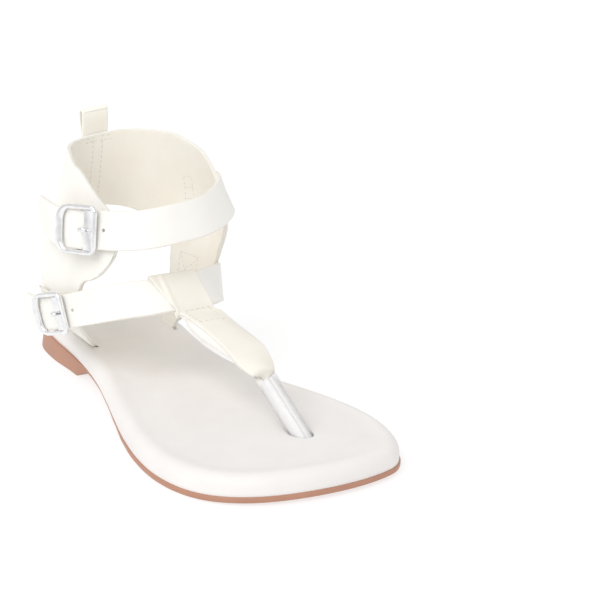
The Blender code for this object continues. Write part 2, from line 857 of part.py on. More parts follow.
def bar_loop(seat):
    """Path of a chape once around the centre bar, from above it, forward, to below it."""
    away = BUCKLE_WIRE + BAR_CLEAR + CHAPE_LEATHER / 2
    points = []
    for turn in spread(math.radians(CHAPE_LAP), math.radians(-90), 7):
        points.append(seat.point(CENTRE_BAR + away * math.cos(turn), 0.0, seat.bar + away * math.sin(turn)))
    return points


def build_chape(name, seat, group, spare, finish):
    """Folded strip around the centre bar and back to the cuff, with a slot for the prong."""
    path = bar_loop(seat)
    sides = [seat.up] * len(path)
    for row in CHAPE_RUN:
        angle = seat.bar_angle + math.degrees(row["back"] / FORM_RADIUS) - 360.0
        low, middle, high = (
            form_point(angle, seat.bar_height + CHAPE_WIDTH * share, row["lift"]) for share in (-0.5, 0.0, 0.5)
        )
        path.append(middle)
        sides.append((high - low).normalized())
    bm = bmesh.new()
    ribbon(bm, path, [CHAPE_WIDTH] * len(path), sides)
    chape = add_object(name, bm, group, finish)
    solidify(chape, CHAPE_LEATHER)
    reach = BUCKLE_WIRE + BAR_CLEAR + 2 * CHAPE_LEATHER
    slot_place = (CENTRE_BAR + reach / 2, 0.0, seat.bar)
    slot = block(name + "_slot", seat, slot_place, (reach, PRONG_SLOT, 3 * reach), spare)
    combine(chape, "DIFFERENCE", slot)
    return chape


def build_rivet(group, finish):
    """Rivet cap on the inner face of the lateral wing, over the seam of the instep chape."""
    wall = form_point(RIVET_ANGLE, RIVET_HEIGHT)
    rise = form_point(RIVET_ANGLE, RIVET_HEIGHT + 1.0) - wall
    round_step = form_point(RIVET_ANGLE + 1.0, RIVET_HEIGHT) - wall
    outward = rise.cross(round_step).normalized()
    inner = wall - outward * (LEATHER / 2 + RIVET_STAND)
    return rod("chape_rivet", inner, inner - outward * RIVET_HEAD, RIVET_RADIUS, group, finish)


# Pull loop at the back of the cuff
PULL_WIDTH = 13.2
PULL_LEATHER = 1.2
PULL_SIDE = 1.0
PULL_RISE = 12.4
PULL_TILT = 0.15
PULL_LEG = 8.0
PULL_BULGE = 1.3
PULL_SHOULDER = 0.55
PULL_PARTING = 0.1


def build_pull_loop(group, finish):
    """Strip folded into a loop above the rim, both ends on the cuff's outer face."""
    rim = smooth(CUFF, "angle", 0.0, "high")
    near = LEATHER / 2 + GAP + PULL_LEATHER / 2
    far = near + PULL_LEATHER + PULL_PARTING
    shoulder = rim + PULL_SHOULDER * PULL_RISE
    path = [(rim - PULL_LEG, near), (rim, near), (shoulder, near - PULL_BULGE)]
    middle = (near + far) / 2
    wide = (far - near) / 2 + PULL_BULGE
    for turn in spread(math.pi, 0.0, 6):
        path.append((rim + PULL_RISE - wide + wide * math.sin(turn), middle + wide * math.cos(turn)))
    path += [(shoulder, far + PULL_BULGE), (rim, far), (rim - PULL_LEG, far)]
    points = []
    for height, out in path:
        at = form_point(0.0, min(height, rim), out)
        points.append(Vector((PULL_SIDE, at.y, height)))
    bm = bmesh.new()
    tilted = Vector((1, 0, PULL_TILT))
    ribbon(bm, points, [PULL_WIDTH] * len(points), [tilted] * len(points))
    loop = add_object("pull_loop", bm, group, finish)
    solidify(loop, PULL_LEATHER)
    return loop


# Slits and post hole of the footbed
SLIT_DEEP = 0.4
SLIT_CLEAR = 0.35
SLIT_TOP = 22.0
LATERAL_SLIT = (-96.4, -67.5)
MEDIAL_SLIT = (72.4, 90.8)


def build_slit(name, first, last, spare):
    """Cutter around the foot of a wing."""
    grid = []
    for angle in spread(first, last, 8):
        grid.append([form_point(angle, height) for height in spread(WING_FOOT - SLIT_DEEP, SLIT_TOP, 5)])
    bm = bmesh.new()
    surface(bm, grid)
    slit = add_object(name, bm, spare)
    solidify(slit, LEATHER + 2 * SLIT_CLEAR)
    return slit


for old in list(bpy.data.objects):
    bpy.data.objects.remove(old, do_unlink=True)

sandal = new_collection("ankle_strap_sandal")
helpers = new_collection("joined_and_cut")
white_leather = material("white_leather", (252, 250, 244), 0.5)
lining_leather = material("chape_leather", (244, 240, 230), 0.55)
silver = material("buckle_metal", (200, 202, 206), 0.25, 1.0)

build_outsole(sandal)
footbed = build_footbed(sandal)
upper = build_cuff(sandal, white_leather)
ankle_seat = Seat(ANKLE_STRAP, ANKLE_BUCKLE_ANGLE)
instep_seat = Seat(INSTEP_STRAP, INSTEP_BUCKLE_ANGLE)

post_axis = (POST_FOOT - POST_TOP).normalized()
post_core = rod("post_core", POST_TOP, POST_FOOT, SLEEVE_RADIUS - SLEEVE_WALL - GAP, helpers)
straps = [
    build_strap("ankle_strap", ANKLE_STRAP, helpers),
    build_strap("instep_strap", INSTEP_STRAP, helpers),
    build_toe_wrap(helpers),
    build_toe_strap(helpers),
    build_toe_under(helpers),
    build_toe_flank(helpers),
    post_core,
]
combine(upper, "UNION", *straps)
combine(
    upper,
    "DIFFERENCE",
    prong_hole("ankle_prong_hole", ankle_seat, helpers),
    prong_hole("instep_prong_hole", instep_seat, helpers),
    spare_hole("ankle_spare_hole", ankle_seat, helpers),
    spare_hole("instep_spare_hole", instep_seat, helpers),
)
post_hole = rod(
    "post_hole",
    POST_FOOT + post_axis * SLIT_DEEP,
    POST_TOP,
    SLEEVE_RADIUS + SLIT_CLEAR,
    helpers,
    sides=24,
)
combine(
    footbed,
    "DIFFERENCE",
    build_slit("lateral_slit", *LATERAL_SLIT, helpers),
    build_slit("medial_slit", *MEDIAL_SLIT, helpers),
    post_hole,
)
build_sleeve(sandal)
build_buckle("ankle_buckle", ankle_seat, sandal, helpers, silver)
build_buckle("instep_buckle", instep_seat, sandal, helpers, silver)
build_prong("ankle_prong", ankle_seat, sandal, silver)
build_prong("instep_prong", instep_seat, sandal, silver)
build_chape("ankle_chape", ankle_seat, sandal, helpers, lining_leather)
build_chape("instep_chape", instep_seat, sandal, helpers, lining_leather)
build_rivet(sandal, silver)
build_pull_loop(sandal, white_leather)

for piece in (*sandal.objects, *helpers.objects):
    piece.location.x += CENTRE_SHIFT * MM
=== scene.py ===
"""Dressed ankle strap sandal for the right foot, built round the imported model.

Tables and sizes are in millimetres, with the toe at -Y and the outer side at -X. Finished meshes are in metres.
"""
import math

import bmesh
import bpy
from mathutils import Matrix, Vector
from mathutils.bvhtree import BVHTree


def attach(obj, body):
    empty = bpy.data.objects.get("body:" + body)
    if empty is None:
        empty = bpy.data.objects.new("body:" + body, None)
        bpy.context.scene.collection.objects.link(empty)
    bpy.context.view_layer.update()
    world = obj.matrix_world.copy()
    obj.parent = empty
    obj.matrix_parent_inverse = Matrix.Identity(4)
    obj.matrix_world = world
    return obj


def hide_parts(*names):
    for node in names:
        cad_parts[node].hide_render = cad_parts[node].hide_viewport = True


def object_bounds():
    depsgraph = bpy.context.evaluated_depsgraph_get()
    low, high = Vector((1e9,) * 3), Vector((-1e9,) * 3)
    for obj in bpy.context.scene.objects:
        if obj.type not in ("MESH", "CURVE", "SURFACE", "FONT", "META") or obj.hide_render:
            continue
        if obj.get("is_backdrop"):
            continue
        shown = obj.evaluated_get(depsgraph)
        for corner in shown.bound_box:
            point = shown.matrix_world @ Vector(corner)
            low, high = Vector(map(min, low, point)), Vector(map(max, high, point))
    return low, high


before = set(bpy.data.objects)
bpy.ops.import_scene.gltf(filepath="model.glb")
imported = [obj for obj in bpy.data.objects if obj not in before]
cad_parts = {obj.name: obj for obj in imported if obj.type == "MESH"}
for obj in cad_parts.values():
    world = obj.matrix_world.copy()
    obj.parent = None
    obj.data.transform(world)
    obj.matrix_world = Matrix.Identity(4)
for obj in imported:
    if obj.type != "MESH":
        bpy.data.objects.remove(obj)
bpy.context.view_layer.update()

# Outsole
# One moulded tan unit: a thin edge all round, a waist that rises to the low heel, and a flat tread.
# It is cemented under the lasted footbed, so only its edge and heel show.
MM = 0.001
CENTRE_SHIFT = 2.8
LENGTH = 250.0
SOLE_EDGE = 2.2
HEEL_SHARE = 0.305
BREAST_SHARE = 0.335
SOLE_ROUND = 0.6
SOLE_LIP = 0.3
SOLE_STATIONS = 150
SOLE_COLUMNS = 8
STATION_CLEAR = 0.008
ROUND_STEPS = 4
TAN = (184, 136, 113)
TAN_SHADE = (176, 130, 109)


def table(columns, *rows):
    """Rows of numbers with named columns, ordered by the first column."""
    names = columns.split()
    return [dict(zip(names, row)) for row in rows]


# Edge of the sole seen from above, by the share of the length from heel to toe
SOLE = table(
    "share lateral medial",
    (0.00, 0.0, 0.0),
    (0.02, -15.6, 13.4),
    (0.06, -24.2, 21.4),
    (0.11, -28.8, 26.2),
    (0.18, -30.4, 28.5),
    (0.26, -30.2, 28.0),
    (0.34, -30.6, 26.6),
    (0.42, -32.6, 26.2),
    (0.50, -36.3, 28.2),
    (0.58, -40.6, 33.0),
    (0.66, -44.8, 39.4),
    (0.74, -47.8, 44.4),
    (0.81, -48.4, 46.4),
    (0.87, -46.0, 45.2),
    (0.92, -40.6, 41.8),
    (0.96, -31.0, 36.4),
    (0.985, -18.5, 28.6),
    (1.00, 7.0, 7.0),
)
# How far the unit's wall lies inside that edge, near the floor and at its top: flared heel, tucked waist
UNIT_WALL = table(
    "share low high",
    (0.00, 0.6, 0.0),
    (0.06, -2.4, -1.0),
    (0.20, -2.2, -0.8),
    (0.30, -1.4, -0.3),
    (0.34, 0.9, 0.9),
    (0.42, 1.0, 1.0),
    (0.50, 0.9, 0.9),
    (0.58, 0.6, 0.6),
    (0.66, 0.2, 0.2),
    (0.72, 0.0, 0.0),
)
# Side view of the sole's upper face, with the toe's spring
PROFILE = table(
    "share top",
    (0.00, 9.4),
    (0.10, 9.2),
    (0.20, 8.4),
    (0.30, 6.8),
    (0.40, 4.9),
    (0.50, 3.4),
    (0.60, 2.5),
    (0.68, 2.2),
    (0.86, 2.2),
    (0.93, 2.6),
    (1.00, 3.6),
)


def smooth(rows, key, value, column):
    """Smooth curve through a column of a table."""
    last = len(rows) - 1
    if value <= rows[0][key]:
        return rows[0][column]
    if value >= rows[last][key]:
        return rows[last][column]
    i = max(k for k in range(last) if rows[k][key] <= value)

    def slope(k):
        low, high = max(k - 1, 0), min(k + 1, last)
        return (rows[high][column] - rows[low][column]) / (rows[high][key] - rows[low][key])

    step = rows[i + 1][key] - rows[i][key]
    t = (value - rows[i][key]) / step
    start, end = rows[i][column], rows[i + 1][column]
    return (
        start * (1 + 2 * t) * (1 - t) ** 2
        + slope(i) * step * t * (1 - t) ** 2
        + end * t * t * (3 - 2 * t)
        + slope(i + 1) * step * t * t * (t - 1)
    )


def spread(start, end, count):
    """Evenly spaced values from start to end."""
    return [start + (end - start) * i / count for i in range(count + 1)]


def share_turn(share):
    """Half turn from heel to toe that stands for a share of the length."""
    return math.acos(1 - 2 * share)


for row in SOLE:
    row["turn"] = share_turn(row["share"])


def share_at(along):
    """Share of the length at a place along the shoe."""
    return 0.5 - along / LENGTH


def sole_edge():
    """Plan points of the sole's edge, heel to toe on the lateral side and back on the medial side."""
    marks = [share_turn(HEEL_SHARE), share_turn(BREAST_SHARE)]
    even = spread(0.0, math.pi, SOLE_STATIONS)
    turns = sorted(marks + [t for t in even if min(abs(t - m) for m in marks) > STATION_CLEAR])
    lateral, medial = [], []
    for turn in turns:
        along = LENGTH / 2 * math.cos(turn)
        lateral.append(Vector((smooth(SOLE, "turn", turn, "lateral"), along)))
        medial.append(Vector((smooth(SOLE, "turn", turn, "medial"), along)))
    return lateral + medial[-2:0:-1]


SOLE_RING = sole_edge()


def sole_ring(inset):
    """The sole's edge moved in by inset(share)."""
    count = len(SOLE_RING)
    moved = []
    for i, point in enumerate(SOLE_RING):
        run = SOLE_RING[(i + 1) % count] - SOLE_RING[i - 1]
        inward = Vector((-run.y, run.x)).normalized()
        moved.append(point + inward * inset(share_at(point.y)))
    return moved


def sole_top(along):
    """Height of the outsole's upper face."""
    return smooth(PROFILE, "share", share_at(along), "top")


def sole_underside(along):
    """Height of the outsole's lower face: flat heel, breast, rising waist, flat tread and toe spring."""
    share = share_at(along)
    waist = sole_top(along) - SOLE_EDGE
    if share <= HEEL_SHARE:
        return 0.0
    if share < BREAST_SHARE:
        return waist * (share - HEEL_SHARE) / (BREAST_SHARE - HEEL_SHARE)
    return max(waist, 0.0)


def panel(bm, rows, finish=0):
    """Faces between rows of vertices laid side by side."""
    for low, high in zip(rows, rows[1:]):
        for j in range(len(low) - 1):
            bm.faces.new((low[j], low[j + 1], high[j + 1], high[j])).material_index = finish


def bridge(bm, rings, closed=False, finish=0):
    """Faces between rings of vertices, and from the last ring to the first if they close."""
    following = rings[1:] + rings[:1] if closed else rings[1:]
    for low, high in zip(rings, following):
        for k in range(len(low)):
            bm.faces.new((low[k - 1], low[k], high[k], high[k - 1])).material_index = finish


def close_ring(bm, ring, columns, height):
    """Closes a ring with rows of faces across the foot."""
    half = len(ring) // 2
    rows = []
    for i in range(1, half):
        left, right = ring[i], ring[len(ring) - i]
        inner = []
        for j in range(1, columns):
            point = left.co.lerp(right.co, j / columns)
            inner.append(bm.verts.new((point.x, point.y, height(point.x, point.y))))
        rows.append([left, *inner, right])
    panel(bm, rows)
    for tip, row in ((ring[0], rows[0]), (ring[half], rows[-1])):
        for pair in zip(row, row[1:]):
            bm.faces.new((tip, *pair))


def layered_solid(bm, layers, columns, bottom, top):
    """A solid from rings laid one over the next, closed below and above."""
    rings = []
    for inset, height in layers:
        rings.append([bm.verts.new((p.x, p.y, height(p.x, p.y))) for p in sole_ring(inset)])
    bridge(bm, rings)
    close_ring(bm, rings[0], columns, bottom)
    close_ring(bm, rings[-1], columns, top)


def ease(value):
    """Smooth step from 0 to 1."""
    t = min(1.0, max(0.0, value))
    return t * t * (3 - 2 * t)


def unit_wall(share, level):
    """How far the unit's wall lies inside the sole's edge."""
    for a, b in zip(UNIT_WALL, UNIT_WALL[1:]):
        if share <= b["share"]:
            t = ease((share - a["share"]) / (b["share"] - a["share"]))
            return a[level] + t * (b[level] - a[level])
    return UNIT_WALL[-1][level]


def outsole_layers():
    """Insets and heights from the rounded lower edge to the lip under the footbed."""
    layers = []
    for turn in spread(0.0, math.pi / 2, ROUND_STEPS):
        inset, rise = SOLE_ROUND * (1 - math.sin(turn)), SOLE_ROUND * (1 - math.cos(turn))
        layers.append((
            lambda share, inset=inset: unit_wall(share, "low") + inset,
            lambda x, along, rise=rise: sole_underside(along) + rise,
        ))
    for inset, drop in ((0.0, 2 * SOLE_LIP), (SOLE_LIP / 3, SOLE_LIP / 2), (SOLE_LIP, 0.0)):
        layers.append((
            lambda share, inset=inset: unit_wall(share, "high") + inset,
            lambda x, along, drop=drop: sole_top(along) - drop,
        ))
    return layers


def srgb(colour):
    """Linear colour from sRGB parts of 255."""
    return (*(((c / 255 + 0.055) / 1.055) ** 2.4 for c in colour), 1.0)


class Finish:
    """A Principled material whose patterns lie in Object coordinates."""

    def __init__(self, name, **values):
        self.made = bpy.data.materials.new(name)
        self.made.use_nodes = True
        self.nodes, self.links = self.made.node_tree.nodes, self.made.node_tree.links
        self.shader = self.nodes["Principled BSDF"]
        self.place = self.nodes.new("ShaderNodeTexCoord").outputs["Object"]
        self.bump = None
        for socket, value in values.items():
            self.shader.inputs[socket.replace("_", " ")].default_value = value

    def noise(self, size, detail=2.0, stretch=(1, 1, 1)):
        """Soft noise with patches of a size in millimetres."""
        node = self.nodes.new("ShaderNodeTexNoise")
        node.inputs["Scale"].default_value = 1 / (size * MM)
        node.inputs["Detail"].default_value = detail
        self.links.new(self.stretched(stretch), node.inputs["Vector"])
        return node.outputs["Fac"]

    def cells(self, size):
        """Pebbled cells of a size in millimetres."""
        node = self.nodes.new("ShaderNodeTexVoronoi")
        node.feature = "SMOOTH_F1"
        node.inputs["Scale"].default_value = 1 / (size * MM)
        self.links.new(self.place, node.inputs["Vector"])
        return node.outputs["Distance"]

    def stretched(self, stretch):
        """Object coordinates drawn out along the axes."""
        if stretch == (1, 1, 1):
            return self.place
        node = self.nodes.new("ShaderNodeMapping")
        node.inputs["Scale"].default_value = stretch
        self.links.new(self.place, node.inputs["Vector"])
        return node.outputs["Vector"]

    def colours(self, pattern, dark, light, low=0.35, high=0.65):
        """Base colour between two shades."""
        ramp = self.nodes.new("ShaderNodeValToRGB")
        for stop, place, colour in zip(ramp.color_ramp.elements, (low, high), (dark, light)):
            stop.position = place
            stop.color = srgb(colour)
        self.links.new(pattern, ramp.inputs["Fac"])
        self.links.new(ramp.outputs["Color"], self.shader.inputs["Base Color"])

    def vary(self, socket, pattern, low, high):
        """Lets a value of the shader follow a pattern from low to high."""
        node = self.nodes.new("ShaderNodeMapRange")
        node.inputs["To Min"].default_value = low
        node.inputs["To Max"].default_value = high
        self.links.new(pattern, node.inputs["Value"])
        self.links.new(node.outputs["Result"], self.shader.inputs[socket])

    def gloss(self, pattern, low, high):
        """Roughness that varies over the surface."""
        self.vary("Roughness", pattern, low, high)

    def clear(self, blend, facing, edge):
        """See-through where the surface faces the eye, denser along its edges."""
        weight = self.nodes.new("ShaderNodeLayerWeight")
        weight.inputs["Blend"].default_value = blend
        self.vary("Alpha", weight.outputs["Facing"], facing, edge)

    def relief(self, pattern, depth):
        """Fine relief of a depth in millimetres, laid over what is there."""
        node = self.nodes.new("ShaderNodeBump")
        node.inputs["Strength"].default_value = 1.0
        node.inputs["Distance"].default_value = depth * MM
        self.links.new(pattern, node.inputs["Height"])
        if self.bump is not None:
            self.links.new(self.bump.outputs["Normal"], node.inputs["Normal"])
        self.links.new(node.outputs["Normal"], self.shader.inputs["Normal"])
        self.bump = node


def tan_unit():
    """Satin moulded tan unit with a fine eggshell surface."""
    tan = Finish("tan_moulded_unit", Specular_IOR_Level=0.4)
    tan.colours(tan.noise(size=18.0), TAN_SHADE, TAN)
    tan.gloss(tan.noise(size=5.0), low=0.42, high=0.58)
    tan.relief(tan.noise(size=0.5, detail=3.0), depth=0.03)
    return tan.made


def add_object(name, data):
    """A new object in the scene."""
    made = bpy.data.objects.new(name, data)
    bpy.context.scene.collection.objects.link(made)
    return made


def add_piece(name, bm, *finishes):
    """An object at the origin from a bmesh drawn in millimetres."""
    bmesh.ops.recalc_face_normals(bm, faces=bm.faces)
    bmesh.ops.translate(bm, vec=(CENTRE_SHIFT, 0, 0), verts=bm.verts)
    bmesh.ops.scale(bm, vec=(MM, MM, MM), verts=bm.verts)
    mesh = bpy.data.meshes.new(name)
    bm.to_mesh(mesh)
    bm.free()
    for made in finishes:
        mesh.materials.append(made)
    mesh.shade_smooth()
    return add_object(name, mesh)


def sharpen(piece, degrees):
    """Keeps the edges hard that bend by more than an angle."""
    piece.data.set_sharp_from_angle(angle=math.radians(degrees))


def dress(piece, slot, *nodes):
    """Puts a finished piece on the sandal in place of its solids."""
    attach(piece, "root")
    if nodes:
        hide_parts(*nodes)


bm = bmesh.new()
layered_solid(
    bm,
    outsole_layers(),
    SOLE_COLUMNS,
    lambda x, along: sole_underside(along),
    lambda x, along: sole_top(along),
)
outsole = add_piece("outsole_unit", bm, tan_unit())
sharpen(outsole, degrees=45)
dress(outsole, "tan_unit", "outsole")

# Padded footbed
# A foam board covered in soft off-white leather that is drawn round a rolled edge and lasted underneath.
# Two slits take the wings of the cuff, and a punched hole near the toe takes the post.
GAP = 0.3
LEATHER = 1.8
WING_FOOT = 10.2
FOOTBED_COLUMNS = 44
FOOTBED_LAYERS = 40
FOOTBED_FLAT = 7.1
FOOTBED_LIGHT = (238, 235, 232)
FOOTBED_SHADE = (235, 231, 228)
POST_DENT = 0.35
POST_DENT_REACH = 6.0
SLIT_DENT = 0.35
SLIT_DENT_REACH = 4.0
SLIT_DEEP = 0.4
SLIT_CLEAR = -0.02
SLIT_TOP = 22.0
SLIT_MARKS = 12
SLIT_COLUMNS = 24
SLIT_ROWS = 10
LATERAL_SLIT = (-93.8, -69.0)
MEDIAL_SLIT = (74.2, 90.6)
HOLE_CLEAR = -0.06
ROD_SIDES = 32
SLEEVE_RADIUS = 4.2
SLEEVE_FLARE = 0.5
POST_TOP = Vector((5.0, -65.6, 27.4))
POST_FOOT = Vector((10.4, -90.2, 6.0))
POST_AXIS = (POST_FOOT - POST_TOP).normalized()

# Rounded side of the footbed, from its underside to the flat top
FOOTBED_ROLL = table(
    "step inset rise",
    (0, 0.6, -0.27),
    (1, 0.5, 0.3),
    (2, 0.5, 1.8),
    (3, 0.65, 3.4),
    (4, 1.2, 5.0),
    (5, 2.2, 6.35),
    (6, 3.6, 7.2),
    (7, 5.2, 7.5),
    (8, 7.0, 7.35),
    (9, 9.0, 7.15),
)
# Ankle form that the cuff lies on, by height
FORM = table(
    "height lateral medial widest back front",
    (8.0, -17.4, 16.8, 51.0, 100.0, -12.0),
    (14.0, -23.2, 20.2, 53.0, 100.0, -10.0),
    (22.0, -31.2, 24.6, 55.0, 100.0, -8.0),
    (30.0, -37.6, 28.0, 57.0, 100.0, -6.0),
    (42.0, -39.2, 29.6, 58.0, 100.0, -4.0),
    (58.0, -36.6, 32.0, 56.0, 99.0, -4.0),
    (74.0, -31.6, 34.2, 54.0, 98.0, -5.0),
    (90.0, -26.2, 32.6, 54.0, 97.0, 2.0),
    (106.0, -21.6, 30.4, 55.0, 96.6, 8.0),
)
FORM_MIDDLE = 54.0
FORM_STEP = 1.0
FRONT_SQUARE = 0.74
BACK_SQUARE = 0.94


def power(value, exponent):
    """Signed power that squares up an oval."""
    return math.copysign(abs(value) ** exponent, value)


def form_plan(angle, height):
    """Point of the ankle form at an angle from the back, positive to the medial side."""
    size = {name: smooth(FORM, "height", height, name) for name in FORM[0] if name != "height"}
    turn = math.radians(angle)
    sine, cosine = math.sin(turn), math.cos(turn)
    square = BACK_SQUARE if cosine > 0 else FRONT_SQUARE
    side = size["medial"] if sine > 0 else -size["lateral"]
    reach = size["back"] - size["widest"] if cosine > 0 else size["widest"] - size["front"]
    return Vector((side * power(sine, square), size["widest"] + reach * power(cosine, square), height))


def facing_out(direction, spot):
    """A direction turned so that it points away from the middle of the ankle."""
    away = spot - Vector((0.0, FORM_MIDDLE, spot.z))
    return -direction if direction.dot(away) < 0 else direction


def form_point(angle, height, lift=0.0):
    """Point of the ankle form moved out level from its surface."""
    spot = form_plan(angle, height)
    run = form_plan(angle + FORM_STEP, height) - form_plan(angle - FORM_STEP, height)
    return spot + facing_out(Vector((run.y, -run.x, 0.0)).normalized(), spot) * lift


def footbed_base(along):
    """Height of the footbed's underside."""
    return sole_top(along) + GAP


def slit_marks(first, last):
    """Points of a slit's mouth on the footbed."""
    marks = []
    for angle in spread(first, last, SLIT_MARKS):
        low = form_plan(angle, WING_FOOT)
        marks.append(form_plan(angle, footbed_base(low.y) + FOOTBED_FLAT).to_2d())
    return marks


FOOTBED_SLITS = slit_marks(*LATERAL_SLIT) + slit_marks(*MEDIAL_SLIT)


def post_mark():
    """Plan point where the post meets the footbed's top."""
    top = footbed_base(POST_FOOT.y) + FOOTBED_FLAT
    return (POST_FOOT + POST_AXIS * ((top - POST_FOOT.z) / POST_AXIS.z)).to_2d()


POST_MARK = post_mark()


def footbed_dent(x, along):
    """How far the soft top is drawn down round the post and the wings."""
    spot = Vector((x, along))
    to_post = (spot - POST_MARK).length / POST_DENT_REACH
    to_slit = min((spot - mark).length for mark in FOOTBED_SLITS) / SLIT_DENT_REACH
    return POST_DENT * math.exp(-to_post ** 2) + SLIT_DENT * math.exp(-to_slit ** 2)


def footbed_layers():
    """Insets and heights round the rolled edge."""
    layers = []
    for step in spread(0, len(FOOTBED_ROLL) - 1, FOOTBED_LAYERS):
        inset, rise = (smooth(FOOTBED_ROLL, "step", step, name) for name in ("inset", "rise"))
        soft = rise / FOOTBED_FLAT if step > len(FOOTBED_ROLL) / 2 else 0.0
        layers.append((
            lambda share, inset=inset: inset,
            lambda x, along, rise=rise, soft=soft: footbed_base(along) + rise - soft * footbed_dent(x, along),
        ))
    return layers


def footbed_leather():
    """Matt off-white cover with fine pores and a faint pull along its edge."""
    cover = Finish("footbed_cover_leather", Specular_IOR_Level=0.35)
    cover.colours(cover.noise(size=24.0), FOOTBED_SHADE, FOOTBED_LIGHT)
    cover.gloss(cover.noise(size=7.0), low=0.5, high=0.66)
    cover.relief(cover.noise(size=9.0), depth=0.12)
    cover.relief(cover.cells(size=0.9), depth=0.035)
    cover.relief(cover.noise(size=0.35), depth=0.015)
    return cover.made


def combine(piece, operation, *helpers):
    """Cuts helper solids out of a piece, or joins them to it, and leaves it a plain mesh."""
    for helper in helpers:
        step = piece.modifiers.new(helper.name, "BOOLEAN")
        step.operation = operation
        step.solver = "EXACT"
        step.object = helper
    settle(piece)
    for helper in helpers:
        bpy.data.objects.remove(helper, do_unlink=True)


def settle(piece):
    """Replaces a piece's mesh by what its modifiers make of it."""
    bpy.context.view_layer.update()
    finished = bpy.data.meshes.new_from_object(piece.evaluated_get(bpy.context.evaluated_depsgraph_get()))
    piece.modifiers.clear()
    piece.data = finished
    finished.name = piece.name


def grid_normals(grid):
    """Directions square to a grid of points."""
    last_row, last_column = len(grid) - 1, len(grid[0]) - 1
    normals = []
    for i, row in enumerate(grid):
        line = []
        for j in range(len(row)):
            along = grid[min(i + 1, last_row)][j] - grid[max(i - 1, 0)][j]
            across = row[min(j + 1, last_column)] - row[max(j - 1, 0)]
            line.append(along.cross(across).normalized())
        normals.append(line)
    return normals


def slit_cutter(name, first, last):
    """Cutter round the foot of a wing."""
    grid = []
    heights = spread(WING_FOOT - SLIT_DEEP, SLIT_TOP, SLIT_ROWS)
    for angle in spread(first, last, SLIT_COLUMNS):
        grid.append([form_point(angle, height) for height in heights])
    bm = bmesh.new()
    plain_wall(bm, grid, LEATHER / 2 + SLIT_CLEAR)
    return add_piece(name, bm)


def plain_wall(bm, grid, half):
    """A closed wall of even thickness with square edges."""
    normals = grid_normals(grid)
    rings = []
    for side in (half, -half):
        rows = [[bm.verts.new(p + n * side) for p, n in zip(*pair)] for pair in zip(grid, normals)]
        panel(bm, rows)
        rings.append([rows[i][j] for i, j in border(len(rows), len(rows[0]))])
    bridge(bm, rings)


def border(rows, columns):
    """Places round the border of a grid."""
    around = [(i, 0) for i in range(rows)]
    around += [(rows - 1, j) for j in range(1, columns)]
    around += [(i, columns - 1) for i in range(rows - 2, -1, -1)]
    around += [(0, j) for j in range(columns - 2, 0, -1)]
    return around


def along_axis(start, end):
    """Placement in millimetres whose Z axis runs from start to end."""
    turn = (end - start).to_track_quat("Z", "Y").to_matrix().to_4x4()
    return Matrix.Translation(start) @ turn


def rod(name, start, end, radius, sides=ROD_SIDES):
    """A round rod between two points."""
    bm = bmesh.new()
    length = (end - start).length
    bmesh.ops.create_cone(bm, cap_ends=True, segments=sides, radius1=radius, radius2=radius, depth=length)
    bmesh.ops.translate(bm, vec=(0, 0, length / 2), verts=bm.verts)
    bmesh.ops.transform(bm, matrix=along_axis(start, end), verts=bm.verts)
    return add_piece(name, bm)


bm = bmesh.new()
layered_solid(
    bm,
    footbed_layers(),
    FOOTBED_COLUMNS,
    lambda x, along: footbed_base(along),
    lambda x, along: footbed_base(along) + FOOTBED_FLAT - footbed_dent(x, along),
)
footbed = add_piece("padded_footbed", bm, footbed_leather())
hole_radius = SLEEVE_RADIUS + SLEEVE_FLARE / 4 + HOLE_CLEAR
combine(
    footbed,
    "DIFFERENCE",
    slit_cutter("lateral_slit", *LATERAL_SLIT),
    slit_cutter("medial_slit", *MEDIAL_SLIT),
    rod("post_hole", POST_FOOT + POST_AXIS * SLIT_DEEP, POST_TOP, hole_radius),
)
sharpen(footbed, degrees=50)
dress(footbed, "footbed_leather", "footbed")

# Ankle cuff with its wings
# White leather backed with a cream lining, cut in two halves that meet in a seam at the back of the heel.
# Its wings run down into the footbed's slits, and its cut edges are painted.
EDGE_ROUND = 0.45
EDGE_SHARE = 0.55
EDGE_LINE = 0.13
EDGE_STEPS = 3
CUFF_STEP = 1.3
CUFF_ROWS = 44
CUFF_SEARCH = 0.1
FORM_RADIUS = 44.0
SEAM_DEEP = 0.35
SEAM_REACH = 0.7
SEAM_LIMIT = 4.0
SEAM_TOP = 105.0
SEAM_TOP_ANGLE = 3.0
SEAM_LEAN = 0.2
GLOSS_CHANGE = 0.07
WHITE = (245, 243, 238)
WHITE_SHADE = (243, 240, 234)
LINING = (244, 241, 233)
LINING_SHADE = (241, 236, 226)
EDGE_PAINT = (243, 240, 233)
EDGE_PAINT_SHADE = (236, 232, 223)

